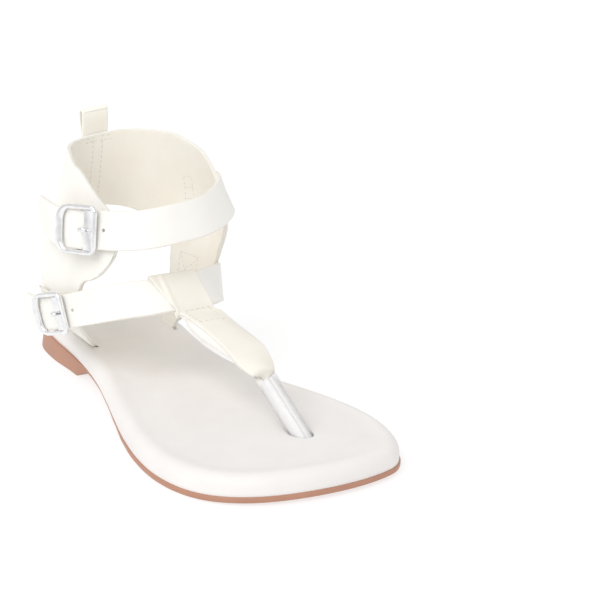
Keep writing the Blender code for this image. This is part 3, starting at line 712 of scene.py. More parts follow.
# Lower and upper edge of the cuff with its wings, by the angle around the ankle from the back
CUFF = table(
    "angle low high",
    (-138.0, 65.0, 76.0),
    (-136.0, 61.0, 78.0),
    (-131.0, 56.0, 80.5),
    (-124.0, 52.4, 83.0),
    (-117.0, 49.5, 85.4),
    (-113.6, 40.0, 86.7),
    (-110.0, 30.0, 88.0),
    (-106.0, 24.0, 89.5),
    (-100.0, 18.4, 91.8),
    (-93.6, 14.0, 94.4),
    (-89.5, WING_FOOT, 95.8),
    (-70.0, WING_FOOT, 100.6),
    (-68.6, 18.0, 100.7),
    (-67.0, 28.0, 100.9),
    (-63.0, 44.0, 101.1),
    (-56.0, 57.0, 101.3),
    (-44.0, 63.0, 101.7),
    (-20.0, 68.0, 102.8),
    (0.0, 69.0, 104.2),
    (20.0, 68.0, 106.0),
    (44.0, 63.5, 106.6),
    (64.0, 58.0, 106.5),
    (69.5, 50.0, 106.3),
    (72.0, 34.0, 106.1),
    (73.4, 20.0, 105.9),
    (74.6, WING_FOOT, 105.8),
    (87.4, WING_FOOT, 104.0),
    (88.8, 14.6, 103.8),
    (90.8, 19.0, 103.4),
    (96.0, 26.0, 102.2),
    (104.0, 35.5, 99.8),
    (112.0, 45.0, 96.2),
    (119.0, 54.0, 92.8),
    (129.0, 66.0, 89.4),
    (140.0, 76.0, 88.0),
)


def leather_wall(bm, grid, thickness, outside):
    """A closed leather wall with rounded edges and a fine line between its two layers.

    Faces on the side that outside points to take the first finish. The other side takes the second, the edge the
    third.
    """
    normals = grid_normals(grid)
    rows, columns = len(grid), len(grid[0])
    if normals[rows // 2][columns // 2].dot(outside) < 0:
        normals = [[-n for n in line] for line in normals]
    around = border(rows, columns)
    points = [grid[i][j] for i, j in around]
    squares = [normals[i][j] for i, j in around]
    outward = []
    for k, point in enumerate(points):
        run = points[(k + 1) % len(points)] - points[k - 1]
        outward.append(run.cross(squares[k]).normalized())
    inner = grid[rows // 2][1]
    if outward[rows // 2].dot(points[rows // 2] - inner) < 0:
        outward = [-o for o in outward]
    half = thickness / 2
    bend = min(EDGE_ROUND, EDGE_SHARE * half)
    groove = EDGE_LINE * bend / EDGE_ROUND
    turned = [math.radians(90 * k / EDGE_STEPS) for k in range(EDGE_STEPS + 1)]
    profile = [(-bend * (1 - math.sin(a)), half - bend * (1 - math.cos(a))) for a in turned]
    profile += [(0.0, groove), (-groove, 0.0)]
    profile += [(out, -height) for out, height in reversed(profile[:-1])]
    rings = []
    for out, height in profile:
        rings.append([bm.verts.new(p + o * out + n * height) for p, o, n in zip(points, outward, squares)])
    bridge(bm, rings, finish=2)
    rim = {place: k for k, place in enumerate(around)}
    for finish, ring, side in ((0, rings[0], half), (1, rings[-1], -half)):
        verts = []
        for i in range(rows):
            line = []
            for j in range(columns):
                if (i, j) in rim:
                    line.append(ring[rim[i, j]])
                else:
                    line.append(bm.verts.new(grid[i][j] + normals[i][j] * side))
            verts.append(line)
        panel(bm, verts, finish)


def leather_piece(name, grid, thickness, outside, finishes):
    """A leather wall as a piece of its own."""
    bm = bmesh.new()
    leather_wall(bm, grid, thickness, outside)
    return add_piece(name, bm, *finishes)


def leather(name, light, dark, rough, grain=0.03):
    """Smooth leather with soft shade changes, a gentle unevenness, a pebbled grain and pores."""
    made = Finish(name, Specular_IOR_Level=0.4)
    made.colours(made.noise(size=22.0), dark, light)
    made.gloss(made.noise(size=6.0), rough - GLOSS_CHANGE, rough + GLOSS_CHANGE)
    made.relief(made.noise(size=8.0), depth=0.1)
    made.relief(made.cells(size=0.8), depth=grain)
    made.relief(made.noise(size=0.3), depth=grain / 2)
    return made.made


white_leather = leather("white_leather", WHITE, WHITE_SHADE, rough=0.46)
cream_lining = leather("cream_lining_leather", LINING, LINING_SHADE, rough=0.6, grain=0.045)
edge_paint = leather("edge_paint", EDGE_PAINT, EDGE_PAINT_SHADE, rough=0.4, grain=0.01)
UPPER_FINISHES = (white_leather, cream_lining, edge_paint)


def cuff_edges(angle):
    """Lower and upper edge of the cuff."""
    low = max(WING_FOOT, smooth(CUFF, "angle", angle, "low"))
    return low, smooth(CUFF, "angle", angle, "high")


def cuff_angles():
    """Angles that cut the cuff's lower edge into even steps."""
    first, last = CUFF[0]["angle"], CUFF[-1]["angle"]
    chosen, passed = [first], 0.0
    before = form_plan(first, cuff_edges(first)[0])
    for angle in spread(first, last, int((last - first) / CUFF_SEARCH))[1:]:
        here = form_plan(angle, cuff_edges(angle)[0])
        passed += (here - before).length
        before = here
        if passed >= CUFF_STEP:
            chosen.append(angle)
            passed = 0.0
    chosen[-1] = last
    return chosen


def seam_angle(height):
    """Angle of the back seam, which leans a little to the lateral side on its way down."""
    return SEAM_TOP_ANGLE - SEAM_LEAN * (SEAM_TOP - height)


def cuff_point(angle, height):
    """Point of the cuff's middle layer, drawn in along the back seam."""
    plain = form_point(angle, height)
    off_seam = math.radians(angle - seam_angle(height)) * FORM_RADIUS / SEAM_REACH
    if abs(off_seam) > SEAM_LIMIT:
        return plain
    return form_point(angle, height, -SEAM_DEEP * math.exp(-off_seam ** 2))


cuff_grid = []
for angle in cuff_angles():
    low, high = cuff_edges(angle)
    cuff_grid.append([cuff_point(angle, height) for height in spread(low, high, CUFF_ROWS)])
cuff_outside = cuff_grid[len(cuff_grid) // 2][0] - Vector((0, FORM_MIDDLE, 0))
cuff = leather_piece("ankle_cuff", cuff_grid, LEATHER, cuff_outside, UPPER_FINISHES)
dress(cuff, "white_leather", "upper")

# Ankle strap and instep strap
# Two lined straps sewn to the medial wing, which run across the front of the ankle to the lateral buckles.
# Each is punched for the prong, and its free end lies behind the buckle.
STRAP_STEP = 1.0
STRAP_COLUMNS = 14
STRAP_CROWN = 0.18
TIP_ROUND = 3.5
TIP_ANGLE = 10.0
TIP_STEPS = (0.5, 0.2, 0.0)

# Centre line of each strap, by the angle around the ankle: lean of its face, lift off the form and width
ANKLE_STRAP = table(
    "angle height lean lift width",
    (60.0, 80.0, 6.0, 1.4, 16.6),
    (90.0, 82.6, 8.0, 1.4, 16.6),
    (118.0, 85.0, 13.0, 1.6, 16.2),
    (135.0, 84.6, 26.0, 2.2, 15.8),
    (155.0, 82.0, 27.0, 1.8, 16.2),
    (180.0, 78.6, 24.0, 2.8, 16.6),
    (205.0, 76.2, 20.0, 2.8, 16.6),
    (222.0, 75.2, 15.0, 2.8, 16.6),
    (235.0, 74.6, 12.0, 3.8, 16.6),
    (246.0, 74.2, 9.0, 7.6, 16.6),
    (256.0, 74.2, 6.0, 10.2, 16.6),
    (266.0, 75.0, 2.0, 10.2, 16.6),
    (276.0, 76.0, -3.0, 9.0, 16.6),
)
INSTEP_STRAP = table(
    "angle height lean lift width",
    (76.0, 38.0, -6.0, 1.4, 16.6),
    (90.0, 39.8, -4.0, 1.4, 16.6),
    (106.0, 41.8, -4.0, 1.5, 16.6),
    (124.0, 44.4, 0.0, 1.2, 16.6),
    (150.0, 47.4, 28.0, -1.0, 16.6),
    (178.0, 48.4, 45.0, 2.8, 16.6),
    (205.0, 46.8, 36.0, 2.8, 16.4),
    (220.0, 44.6, 22.0, 2.6, 15.8),
    (236.0, 40.9, 9.0, 2.7, 15.1),
    (243.0, 39.1, 4.0, 3.8, 14.9),
    (249.0, 37.4, 0.0, 5.6, 14.7),
    (255.0, 35.6, -3.0, 7.4, 14.6),
    (261.0, 34.1, -4.0, 9.0, 14.6),
    (268.0, 33.2, -4.0, 10.2, 14.6),
    (272.0, 33.0, -4.0, 10.6, 14.6),
)
# Soft troughs across the straps where they bend, with a slant in degrees from edge to edge
ANKLE_CREASES = table(
    "angle slant deep reach",
    (128.0, 5.0, 0.25, 2.2),
    (139.0, -4.0, 0.18, 1.8),
    (228.0, 3.0, 0.2, 1.6),
)
INSTEP_CREASES = table(
    "angle slant deep reach",
    (118.0, 4.0, 0.22, 2.0),
    (146.0, -3.0, 0.16, 1.8),
    (234.0, 3.0, 0.2, 1.5),
)


def strap_centre(rows, angle):
    """Centre of a strap at an angle around the ankle."""
    height = smooth(rows, "angle", angle, "height")
    return form_point(angle, height, smooth(rows, "angle", angle, "lift"))


def strap_frame(rows, angle):
    """Centre, run, across and outward directions of a strap at an angle."""
    centre = strap_centre(rows, angle)
    run = (strap_centre(rows, angle + FORM_STEP) - strap_centre(rows, angle - FORM_STEP)).normalized()
    upright = (Vector((0, 0, 1)) - run * run.z).normalized()
    outward = facing_out(upright.cross(run), centre)
    lean = math.radians(smooth(rows, "angle", angle, "lean"))
    across = upright * math.cos(lean) - outward * math.sin(lean)
    return centre, run, across, outward * math.cos(lean) + upright * math.sin(lean)


def tip_width(width, left):
    """Width of a strap that rounds its corners over the last stretch before its tip."""
    if left >= TIP_ROUND:
        return width
    return width - 2 * TIP_ROUND + 2 * math.sqrt(max(0.0, TIP_ROUND ** 2 - (TIP_ROUND - left) ** 2))


def strap_grid(rows, creases):
    """Points of a strap's middle layer, with a slight crown and its creases."""
    first, last = rows[0]["angle"], rows[-1]["angle"]
    angles = spread(first, last, int((last - first) / STRAP_STEP))
    tip = strap_centre(rows, last)
    angles[-1:] = [last - step for step in TIP_STEPS]
    grid = []
    for angle in angles:
        centre, _, across, outward = strap_frame(rows, angle)
        width = smooth(rows, "angle", angle, "width")
        if angle > last - TIP_ANGLE:
            width = tip_width(width, (centre - tip).length)
        line = []
        for share in spread(-0.5, 0.5, STRAP_COLUMNS):
            lift = STRAP_CROWN * (1 - (2 * share) ** 2)
            for crease in creases:
                off = (angle - crease["angle"] - crease["slant"] * share) / crease["reach"]
                lift -= crease["deep"] * math.exp(-off ** 2)
            line.append(centre + across * (width * share) + outward * lift)
        grid.append(line)
    return grid


# Where the buckles sit on their straps
ANKLE_BUCKLE_ANGLE = 245.4
INSTEP_BUCKLE_ANGLE = 255.6
BUCKLE_SPAN = 20.0
BUCKLE_WIRE = 1.0
PRONG_RADIUS = 0.7
CHAPE_LEATHER = 0.8
CENTRE_BAR = -1.0
BAR_CLEAR = 0.2
PLATE_LENGTH = 6.0
PLATE_THICK = 1.6
PRONG_START = CENTRE_BAR + BUCKLE_WIRE + BAR_CLEAR + PRONG_RADIUS
PRONG_SLOT = 1.8
SLOT_ROUND = 0.45
BEVEL_STEPS = 4
UPRIGHT = 0.9
PRONG_HOLE_LENGTH = 3.6
PRONG_HOLE_AHEAD = 0.9
SPARE_HOLE_AHEAD = 3.4
SPARE_HOLE_RADIUS = 0.8
SPARE_HOLE_SIDES = 24
SEARCH_ANGLE = 30.0
SEARCH_STEPS = 30


class Seat:
    """Place of a buckle on its strap: forward along the strap, up across it and out from it."""

    def __init__(self, rows, angle):
        self.rows = rows
        self.centre, run, self.up, self.out = strap_frame(rows, angle)
        self.ahead = -run
        self.angle = angle
        self.width = smooth(rows, "angle", angle, "width")
        half = BUCKLE_SPAN / 2
        over_rear = self.crest(-half) + BUCKLE_WIRE
        over_front = max(self.crest(half), self.crest(half - PLATE_LENGTH)) + PLATE_THICK / 2
        self.ring = max(over_rear, over_front) + LEATHER / 2 + GAP
        self.bar = self.depth(CENTRE_BAR) - LEATHER / 2 - GAP - CHAPE_LEATHER - BAR_CLEAR - BUCKLE_WIRE
        self.bar_angle = self.strap_angle(CENTRE_BAR)
        self.bar_height = smooth(rows, "angle", self.bar_angle, "height")

    def strap_angle(self, ahead):
        """Angle around the ankle where the strap is this far ahead of the buckle's middle."""
        low, high = self.angle - SEARCH_ANGLE, self.angle + SEARCH_ANGLE
        for _ in range(SEARCH_STEPS):
            middle = (low + high) / 2
            reach = (strap_centre(self.rows, middle) - self.centre).dot(self.ahead)
            low, high = (middle, high) if reach > ahead else (low, middle)
        return (low + high) / 2

    def depth(self, ahead):
        """How far out the strap's middle lies there."""
        return (strap_centre(self.rows, self.strap_angle(ahead)) - self.centre).dot(self.out)

    def crest(self, ahead):
        """How far out the strap's farther edge or middle lies there."""
        centre, _, across, _ = strap_frame(self.rows, self.strap_angle(ahead))
        sides = (centre + across * (self.width * share) - self.centre for share in (-0.5, 0.0, 0.5))
        return max(side.dot(self.out) for side in sides)

    def point(self, ahead, up, out):
        """Point from distances ahead, up and out."""
        return self.centre + self.ahead * ahead + self.up * up + self.out * out

    def placed(self, ahead, up, out):
        """Placement with axes ahead, up and out."""
        turn = Matrix((self.ahead, self.up, self.out)).transposed().to_4x4()
        return Matrix.Translation(self.point(ahead, up, out)) @ turn


def block(bm, placement, size):
    """A box at a placement."""
    made = bmesh.ops.create_cube(bm, size=1.0)
    bmesh.ops.scale(bm, vec=size, verts=made["verts"])
    bmesh.ops.transform(bm, matrix=placement, verts=made["verts"])


def prong_hole(name, seat):
    """Slot through the strap for the prong."""
    ahead = PRONG_START + PRONG_HOLE_AHEAD
    bm = bmesh.new()
    block(bm, seat.placed(ahead, 0.0, seat.depth(ahead)), (PRONG_HOLE_LENGTH, PRONG_SLOT, 4 * LEATHER))
    runs = [(edge.verts[0].co - edge.verts[1].co).normalized() for edge in bm.edges]
    uprights = [edge for edge, run in zip(bm.edges, runs) if abs(run.dot(seat.out)) > UPRIGHT]
    bmesh.ops.bevel(bm, geom=uprights, offset=PRONG_SLOT * SLOT_ROUND, segments=BEVEL_STEPS, affect="EDGES")
    return add_piece(name, bm)


def spare_hole(name, seat):
    """Next punched hole, just ahead of the buckle."""
    centre, _, _, outward = strap_frame(seat.rows, seat.strap_angle(BUCKLE_SPAN / 2 + SPARE_HOLE_AHEAD))
    reach = outward * 2 * LEATHER
    return rod(name, centre - reach, centre + reach, SPARE_HOLE_RADIUS, SPARE_HOLE_SIDES)


def add_strap(name, seat, creases):
    """A lined strap, punched for its prong and once more ahead of the buckle."""
    rows = seat.rows
    outside = strap_frame(rows, (rows[0]["angle"] + rows[-1]["angle"]) / 2)[3]
    strap = leather_piece(name, strap_grid(rows, creases), LEATHER, outside, UPPER_FINISHES)
    combine(strap, "DIFFERENCE", prong_hole(name + "_prong_hole", seat), spare_hole(name + "_spare_hole", seat))
    sharpen(strap, degrees=60)
    dress(strap, "white_leather", "upper")


ankle_seat = Seat(ANKLE_STRAP, ANKLE_BUCKLE_ANGLE)
instep_seat = Seat(INSTEP_STRAP, INSTEP_BUCKLE_ANGLE)
add_strap("ankle_strap", ankle_seat, ANKLE_CREASES)
add_strap("instep_strap", instep_seat, INSTEP_CREASES)

# Toe strap
# A folded leather strap that loops over the instep strap and is sewn to itself below it.
# Its under layer hangs a little slack, and it narrows to its end, which is rolled into the toe post.
CROSS_ANGLE = 181.0
STRAP_WIDTH = 16.6
TOE_LAYERS = 2.4
TOE_LAP = 1.5
TOE_LAP_ROWS = 3
TOE_ROWS = 48
TOE_COLUMNS = 16
WRAP_LEATHER = 1.3
WRAP_SINK = 0.25
WRAP_SKEW = 2.0
WRAP_WIDTH_TOP = 21.0
WRAP_WIDTH_LOW = 17.2
WRAP_END = 3.0
WRAP_MARGIN = 1.0
WRAP_PARTING = 0.1
WRAP_DIVE = 0.5
WRAP_FOLD = 0.6
WRAP_FOLD_REACH = 0.8
WRAP_FOLD_TOP = 5.0
WRAP_DIP = 0.35
WRAP_LOW = -0.95
WRAP_HIGH = 0.9
WRAP_ROWS = 14
WRAP_TURN_ROWS = 10
UNDER_LEATHER = 1.2
UNDER_LAP = 0.3
UNDER_MARGIN = 0.6
UNDER_SAG = 4.0
UNDER_HANG = TOE_LAYERS / 2 - UNDER_LAP
UNDER_END = 56.0
UNDER_ROWS = 30
SLACK_EARLY = 0.62
FLANK_INSET = 1.0
FLANK_BULGE = 0.8
FLANK_COLUMNS = 10
CURL_START = 50.0
CURL_RISE = 1.6
CURL_RADIUS = 2.6
CURL_TURN = 78.0
CURL_DEPTHS = (1.2, 2.4, 4.0, 6.0)
TOE_DOME = 0.5
DOME_START = 18.0
DOME_REACH = 10.0
MEDIAL_DIP = 1.6
MEDIAL_DIP_END = 52.0
LEVEL = Vector((1, 0, 0))
TOE_OUTSIDE = Vector((0, -0.3, 1))
# The toe strap's two tones are the white leather made darker and warmer: painted shade on the toe strap and its
# loop.
TOE_WHITE_PAINTED_SHADE = (241, 237, 227)
TOE_DARK_PAINTED_SHADE = (238, 233, 222)

# Centre line of the toe strap below the instep strap
TOE_STRAP = table(
    "ahead side height width",
    (17.0, 2.6, 40.5, 17.0),
    (28.0, 3.2, 39.2, 16.9),
    (41.0, 3.8, 37.2, 16.8),
    (52.0, 4.3, 34.2, 16.2),
    (58.0, 4.6, 31.2, 15.0),
    (62.5, 4.8, 28.8, 12.2),
    (65.6, 5.0, 27.4, 8.8),
)
# The toe strap and its loop take this darker copy of the white leather as painted shade.
toe_leather_painted_shade = leather("toe_strap_leather_painted_shade", TOE_WHITE_PAINTED_SHADE, TOE_DARK_PAINTED_SHADE, rough=0.46)
TOE_FINISHES_PAINTED_SHADE = (toe_leather_painted_shade, cream_lining, edge_paint)


def toe_path(start, end, count):
    """Points and widths along the toe strap between two places ahead of the ankle."""
    path, widths = [], []
    for ahead in spread(start, end, count):
        side, height, width = (smooth(TOE_STRAP, "ahead", ahead, name) for name in ("side", "height", "width"))
        path.append(Vector((side, -ahead, height)))
        widths.append(width)
    return path, widths


def ribbon(path, widths, sides, columns=TOE_COLUMNS):
    """Grid of a flat strip along a path, spread to both sides of it."""
    grid = []
    for point, width, side in zip(path, widths, sides):
        grid.append([point + side * (width * share) for share in spread(-0.5, 0.5, columns)])
    return grid


def toe_strap_grid():
    """Main layer of the toe strap, flat at the instep and rolled at the post."""
    centre, run, across, _ = strap_frame(INSTEP_STRAP, CROSS_ANGLE)
    centre -= run * WRAP_SKEW
    path, widths = toe_path(TOE_STRAP[0]["ahead"], TOE_STRAP[-1]["ahead"], TOE_ROWS)
    head = [centre - across * (STRAP_WIDTH / 2 + beyond) for beyond in spread(-TOE_LAP, TOE_LAP, TOE_LAP_ROWS)]
    widths = [WRAP_WIDTH_LOW - WRAP_MARGIN] * len(head) + widths
    grid = ribbon(head + path, widths, [LEVEL] * len(widths))
    for line in grid:
        ahead = -line[0].y
        domed = TOE_DOME * ease((ahead - DOME_START) / DOME_REACH)
        rolled = CURL_RISE * ease((ahead - CURL_START) / (TOE_STRAP[-1]["ahead"] - CURL_START))
        along = (ahead - TOE_STRAP[0]["ahead"]) / (MEDIAL_DIP_END - TOE_STRAP[0]["ahead"])
        dip = MEDIAL_DIP * math.sin(math.pi * min(1.0, max(0.0, along)))
        for share, point in zip(spread(-1, 1, TOE_COLUMNS), line):
            point.z += (domed + rolled) * (1 - share ** 2) - dip * max(0.0, share) ** 2
    return grid + [curled_line(depth) for depth in CURL_DEPTHS]


def curled_line(depth):
    """Cross line of the strap's end, curled inside the sleeve at a depth below the post's top."""
    centre = POST_TOP + POST_AXIS * depth
    over = LEVEL.cross(POST_AXIS).normalized()
    line = []
    for turn in spread(-CURL_TURN, CURL_TURN, TOE_COLUMNS):
        around = math.radians(turn)
        line.append(centre + (LEVEL * math.sin(around) + over * math.cos(around)) * CURL_RADIUS)
    return line


def slack_path():
    """Points and widths over the under layer, and its share of slack there, fullest nearer the instep."""
    path, widths = toe_path(TOE_STRAP[0]["ahead"], UNDER_END, UNDER_ROWS)
    slacks = [math.sin(math.pi * share ** SLACK_EARLY) for share in spread(0.0, 1.0, UNDER_ROWS)]
    return path, widths, slacks


def toe_under_grid():
    """Slack under layer of the toe strap."""
    path, widths, slacks = slack_path()
    for point, slack in zip(path, slacks):
        point.z -= UNDER_HANG + UNDER_SAG * slack
    return ribbon(path, [width - UNDER_MARGIN for width in widths], [LEVEL] * len(widths))


def toe_fold_grid():
    """Folded lateral edge that joins the slack layer to the strap."""
    grid = []
    for point, width, slack in zip(*slack_path()):
        line = []
        for share in spread(0.0, 1.0, FLANK_COLUMNS):
            side = FLANK_INSET - FLANK_BULGE * slack * 4 * share * (1 - share) - width / 2
            line.append(point + Vector((side, 0, -(UNDER_HANG + UNDER_SAG * slack) * share)))
        grid.append(line)
    return grid


def toe_wrap_grid():
    """Loop of the toe strap round the instep strap, with a turned edge on its lateral side."""
    centre, run, across, outward = strap_frame(INSTEP_STRAP, CROSS_ANGLE)
    away = LEATHER / 2 + WRAP_LEATHER / 2 - WRAP_SINK
    half = STRAP_WIDTH / 2
    pinch = WRAP_LEATHER / 2 + WRAP_PARTING
    path = [(-half - WRAP_END, pinch - WRAP_DIVE), (-half - WRAP_END / 2, (pinch + away - WRAP_DIVE) / 2)]
    path += [(half * share, away) for share in spread(WRAP_LOW, WRAP_HIGH, WRAP_ROWS)]
    for turn in spread(0.0, math.pi, WRAP_TURN_ROWS):
        path.append((half + away * math.sin(turn), away * math.cos(turn)))
    path += [(half * share, -away) for share in spread(WRAP_HIGH, WRAP_LOW, WRAP_ROWS)]
    path += [(-half - WRAP_END / 2, -(pinch + away) / 2), (-half - WRAP_END, -pinch)]
    grid = []
    for up, out in path:
        share = min(1.0, max(-1.0, up / half))
        width = WRAP_WIDTH_LOW + (WRAP_WIDTH_TOP - WRAP_WIDTH_LOW) * (share + 1) / 2
        middle = centre + across * up + run * (WRAP_SKEW * share)
        line = []
        for side in spread(-0.5, 0.5, 2 * TOE_COLUMNS):
            from_fold = ((0.5 - side) * width - WRAP_FOLD_TOP * (share + 1) / 2) / WRAP_FOLD_REACH
            fold = WRAP_FOLD * math.exp(-from_fold ** 2) - WRAP_DIP * math.exp(-(from_fold / 2 + 1) ** 2)
            fold *= ease(out / away)
            line.append(middle + run * (width * side) + outward * (out + fold))
        grid.append(line)
    return grid


wrap_outside = strap_frame(INSTEP_STRAP, CROSS_ANGLE)[2]
toe_wrap = leather_piece("toe_strap_loop", toe_wrap_grid(), WRAP_LEATHER, wrap_outside, TOE_FINISHES_PAINTED_SHADE)
toe_strap = leather_piece("toe_strap", toe_strap_grid(), TOE_LAYERS, TOE_OUTSIDE, TOE_FINISHES_PAINTED_SHADE)
toe_under = leather_piece("toe_strap_under_layer", toe_under_grid(), UNDER_LEATHER, TOE_OUTSIDE, UPPER_FINISHES)
toe_fold = leather_piece("toe_strap_fold", toe_fold_grid(), UNDER_LEATHER, -LEVEL, UPPER_FINISHES)
for layer in (toe_wrap, toe_strap, toe_under, toe_fold):
    dress(layer, "white_leather", "upper")

# Toe post and its sleeve
# The end of the toe strap, rolled tight, goes down through the footbed inside a clear flexible tube.
# The tube keeps the post from chafing, and the strap's closing fold shows through it.
SLEEVE_WALL = 0.6
SLEEVE_START = 2.3
SLEEVE_ROUND = 0.2
SLEEVE_ROUND_SHARE = 0.01
POST_SIDES = 48
POST_RINGS = 12
POST_START = 0.09
POST_FOLD = 0.8
POST_FOLD_TURN = 100.0
POST_FOLD_REACH = 9.0
POST_WHITE = (244, 243, 242)
POST_SHADE = (241, 240, 239)
SLEEVE_TINT = (222, 220, 223)


def skin(bm, rings, closed):
    """Closes rings of vertices into a solid, on themselves or with a face at each end."""
    bridge(bm, rings, closed)
    if not closed:
        bm.faces.new(rings[0])
        bm.faces.new(rings[-1])


def turned_piece(name, finish, rings, start, end, closed=False, fold=0.0):
    """A round piece from rings of (radius, share of its length), with a folded line of a depth down its side."""
    bm = bmesh.new()
    placement = along_axis(start, end)
    length = (end - start).length
    circles = []
    for radius, share in rings:
        circle = []
        for turn in spread(0.0, 360.0, POST_SIDES)[:-1]:
            off = (turn - POST_FOLD_TURN) / POST_FOLD_REACH
            reach, around = radius - fold * math.exp(-off ** 2), math.radians(turn)
            spot = Vector((reach * math.cos(around), reach * math.sin(around), share * length))
            circle.append(bm.verts.new(placement @ spot))
        circles.append(circle)
    skin(bm, circles, closed)
    return add_piece(name, bm, finish)


post_leather = leather("toe_post_leather", POST_WHITE, POST_SHADE, rough=0.46)
post_radius = SLEEVE_RADIUS - SLEEVE_WALL - GAP
post_rings = [(post_radius, share) for share in spread(POST_START, 1.0, POST_RINGS)]
toe_post = turned_piece("toe_post_roll", post_leather, post_rings, POST_TOP, POST_FOOT, fold=POST_FOLD)
sharpen(toe_post, degrees=60)
dress(toe_post, "white_leather", "upper")

# Outline of the sleeve's wall, by its distance from the outer face and its share of the length
sleeve_outline = (
    (-SLEEVE_ROUND, 0.0),
    (0.0, SLEEVE_ROUND_SHARE),
    (0.0, 0.5),
    (0.0, 1.0),
    (-SLEEVE_WALL, 1.0),
    (-SLEEVE_WALL, 0.5),
    (-SLEEVE_WALL, SLEEVE_ROUND_SHARE),
    (-SLEEVE_WALL + SLEEVE_ROUND, 0.0),
)
sleeve_rings = [(SLEEVE_RADIUS + SLEEVE_FLARE * (1 - share) + off, share) for off, share in sleeve_outline]
sleeve_top = POST_TOP + POST_AXIS * SLEEVE_START
clear_tube = Finish("clear_flexible_tube", IOR=1.45, Coat_Weight=0.6, Base_Color=srgb(SLEEVE_TINT))
clear_tube.gloss(clear_tube.noise(size=3.0), low=0.04, high=0.14)
clear_tube.relief(clear_tube.noise(size=6.0, stretch=(1, 1, 0.3)), depth=0.1)
clear_tube.clear(blend=0.22, facing=0.05, edge=0.75)
sleeve = turned_piece("toe_post_tube", clear_tube.made, sleeve_rings, sleeve_top, POST_FOOT, closed=True)
sharpen(sleeve, degrees=50)
dress(sleeve, "clear_sleeve", "toe_post_sleeve")

# Chapes
# Thin cream strips folded round the centre bar of each buckle and sewn to the lateral side of the cuff.
# A slot in the fold lets the prong swing.
CHAPE_WIDTH = 12.0
CHAPE_LAP = 115.0
CHAPE_UNDER = -90.0
CHAPE_LOOP_ROWS = 14
CHAPE_COLUMNS = 12
CHAPE_SLOT = 2.2
CHAPE_RUN = table(
    "back lift",
    (4.0, 2.6),
    (9.0, 2.0),
    (15.0, 1.9),
)
chape_leather = leather("chape_leather", LINING, LINING_SHADE, rough=0.5)


def bar_loop(seat):
    """Path of a chape once around the centre bar, from above it, forward, to below it."""
    away = BUCKLE_WIRE + BAR_CLEAR + CHAPE_LEATHER / 2
    points = []
    for turn in spread(math.radians(CHAPE_LAP), math.radians(CHAPE_UNDER), CHAPE_LOOP_ROWS):
        points.append(seat.point(CENTRE_BAR + away * math.cos(turn), 0.0, seat.bar + away * math.sin(turn)))
    return points


def add_chape(name, seat, node):
    """Folded strip around the centre bar and back to the cuff."""
    path = bar_loop(seat)
    sides = [seat.up] * len(path)
    for row in CHAPE_RUN:
        angle = seat.bar_angle + math.degrees(row["back"] / FORM_RADIUS) - 360.0
        low, middle, high = (
            form_point(angle, seat.bar_height + CHAPE_WIDTH * share, row["lift"]) for share in (-0.5, 0.0, 0.5)
        )
        path.append(middle)
        sides.append((high - low).normalized())
    grid = ribbon(path, [CHAPE_WIDTH] * len(path), sides, CHAPE_COLUMNS)
    finishes = (chape_leather, chape_leather, edge_paint)
    chape = leather_piece(name, grid, CHAPE_LEATHER, seat.ahead, finishes)
    reach = BUCKLE_WIRE + BAR_CLEAR + 2 * CHAPE_LEATHER
    bm = bmesh.new()
    block(bm, seat.placed(CENTRE_BAR + reach / 2, 0.0, seat.bar), (reach, CHAPE_SLOT, 3 * reach))
    combine(chape, "DIFFERENCE", add_piece(name + "_slot", bm))
    dress(chape, "chape_leather", node)


add_chape("ankle_chape_fold", ankle_seat, "ankle_chape")
add_chape("instep_chape_fold", instep_seat, "instep_chape")

# Buckles and prongs
# Cast frames with rounded rear corners and a broad front plate, polished and plated in silver.
# A bar under the strap carries the chape and the prong, which lies on the front plate.
FRONT_CORNER = 2.6
REAR_CORNER = 5.6
CORNER_STEPS = 10
WIRE_SIDES = 16
WIRE_SQUARE = 0.8
REAR_BROAD = 1.9
REAR_DRAW = 0.9
PLATE_EDGE = 0.55
PLATE_REACH = 0.6
PRONG_REACH = 5.6
PRONG_BROAD = 1.4
PRONG_ROWS = 40
PRONG_TIP = 0.35
PRONG_TIP_ROWS = 5
PRONG_SHARES = (0.0, 0.05, 0.15, 0.38, 0.55, 1.0)
SILVER = (247, 247, 248)
SILVER_SHADE = (236, 236, 238)


def silver_plate():
    """Polished silver plating with faint casting waves."""
    silver = Finish("silver_plate", Metallic=1.0)
    silver.colours(silver.noise(size=4.0), SILVER_SHADE, SILVER)
    silver.gloss(silver.noise(size=1.5), low=0.12, high=0.24)
    silver.relief(silver.noise(size=2.5), depth=0.02)
    return silver.made


polished_silver = silver_plate()


def sweep(bm, points, squares, broad, high, closed):
    """A rounded bar along points, with its half width and half height."""
    count = len(points)
    rings = []
    for k, point in enumerate(points):
        after = points[(k + 1) % count] if closed else points[min(k + 1, count - 1)]
        before = points[k - 1] if closed else points[max(k - 1, 0)]
        side = (after - before).cross(squares[k]).normalized()
        ring = []
        for turn in spread(0.0, 2 * math.pi, WIRE_SIDES)[:-1]:
            across = side * (broad(k) * power(math.cos(turn), WIRE_SQUARE))
            rise = squares[k] * (high(k) * power(math.sin(turn), WIRE_SQUARE))
            ring.append(bm.verts.new(point + across + rise))
        rings.append(ring)
    skin(bm, rings, closed)


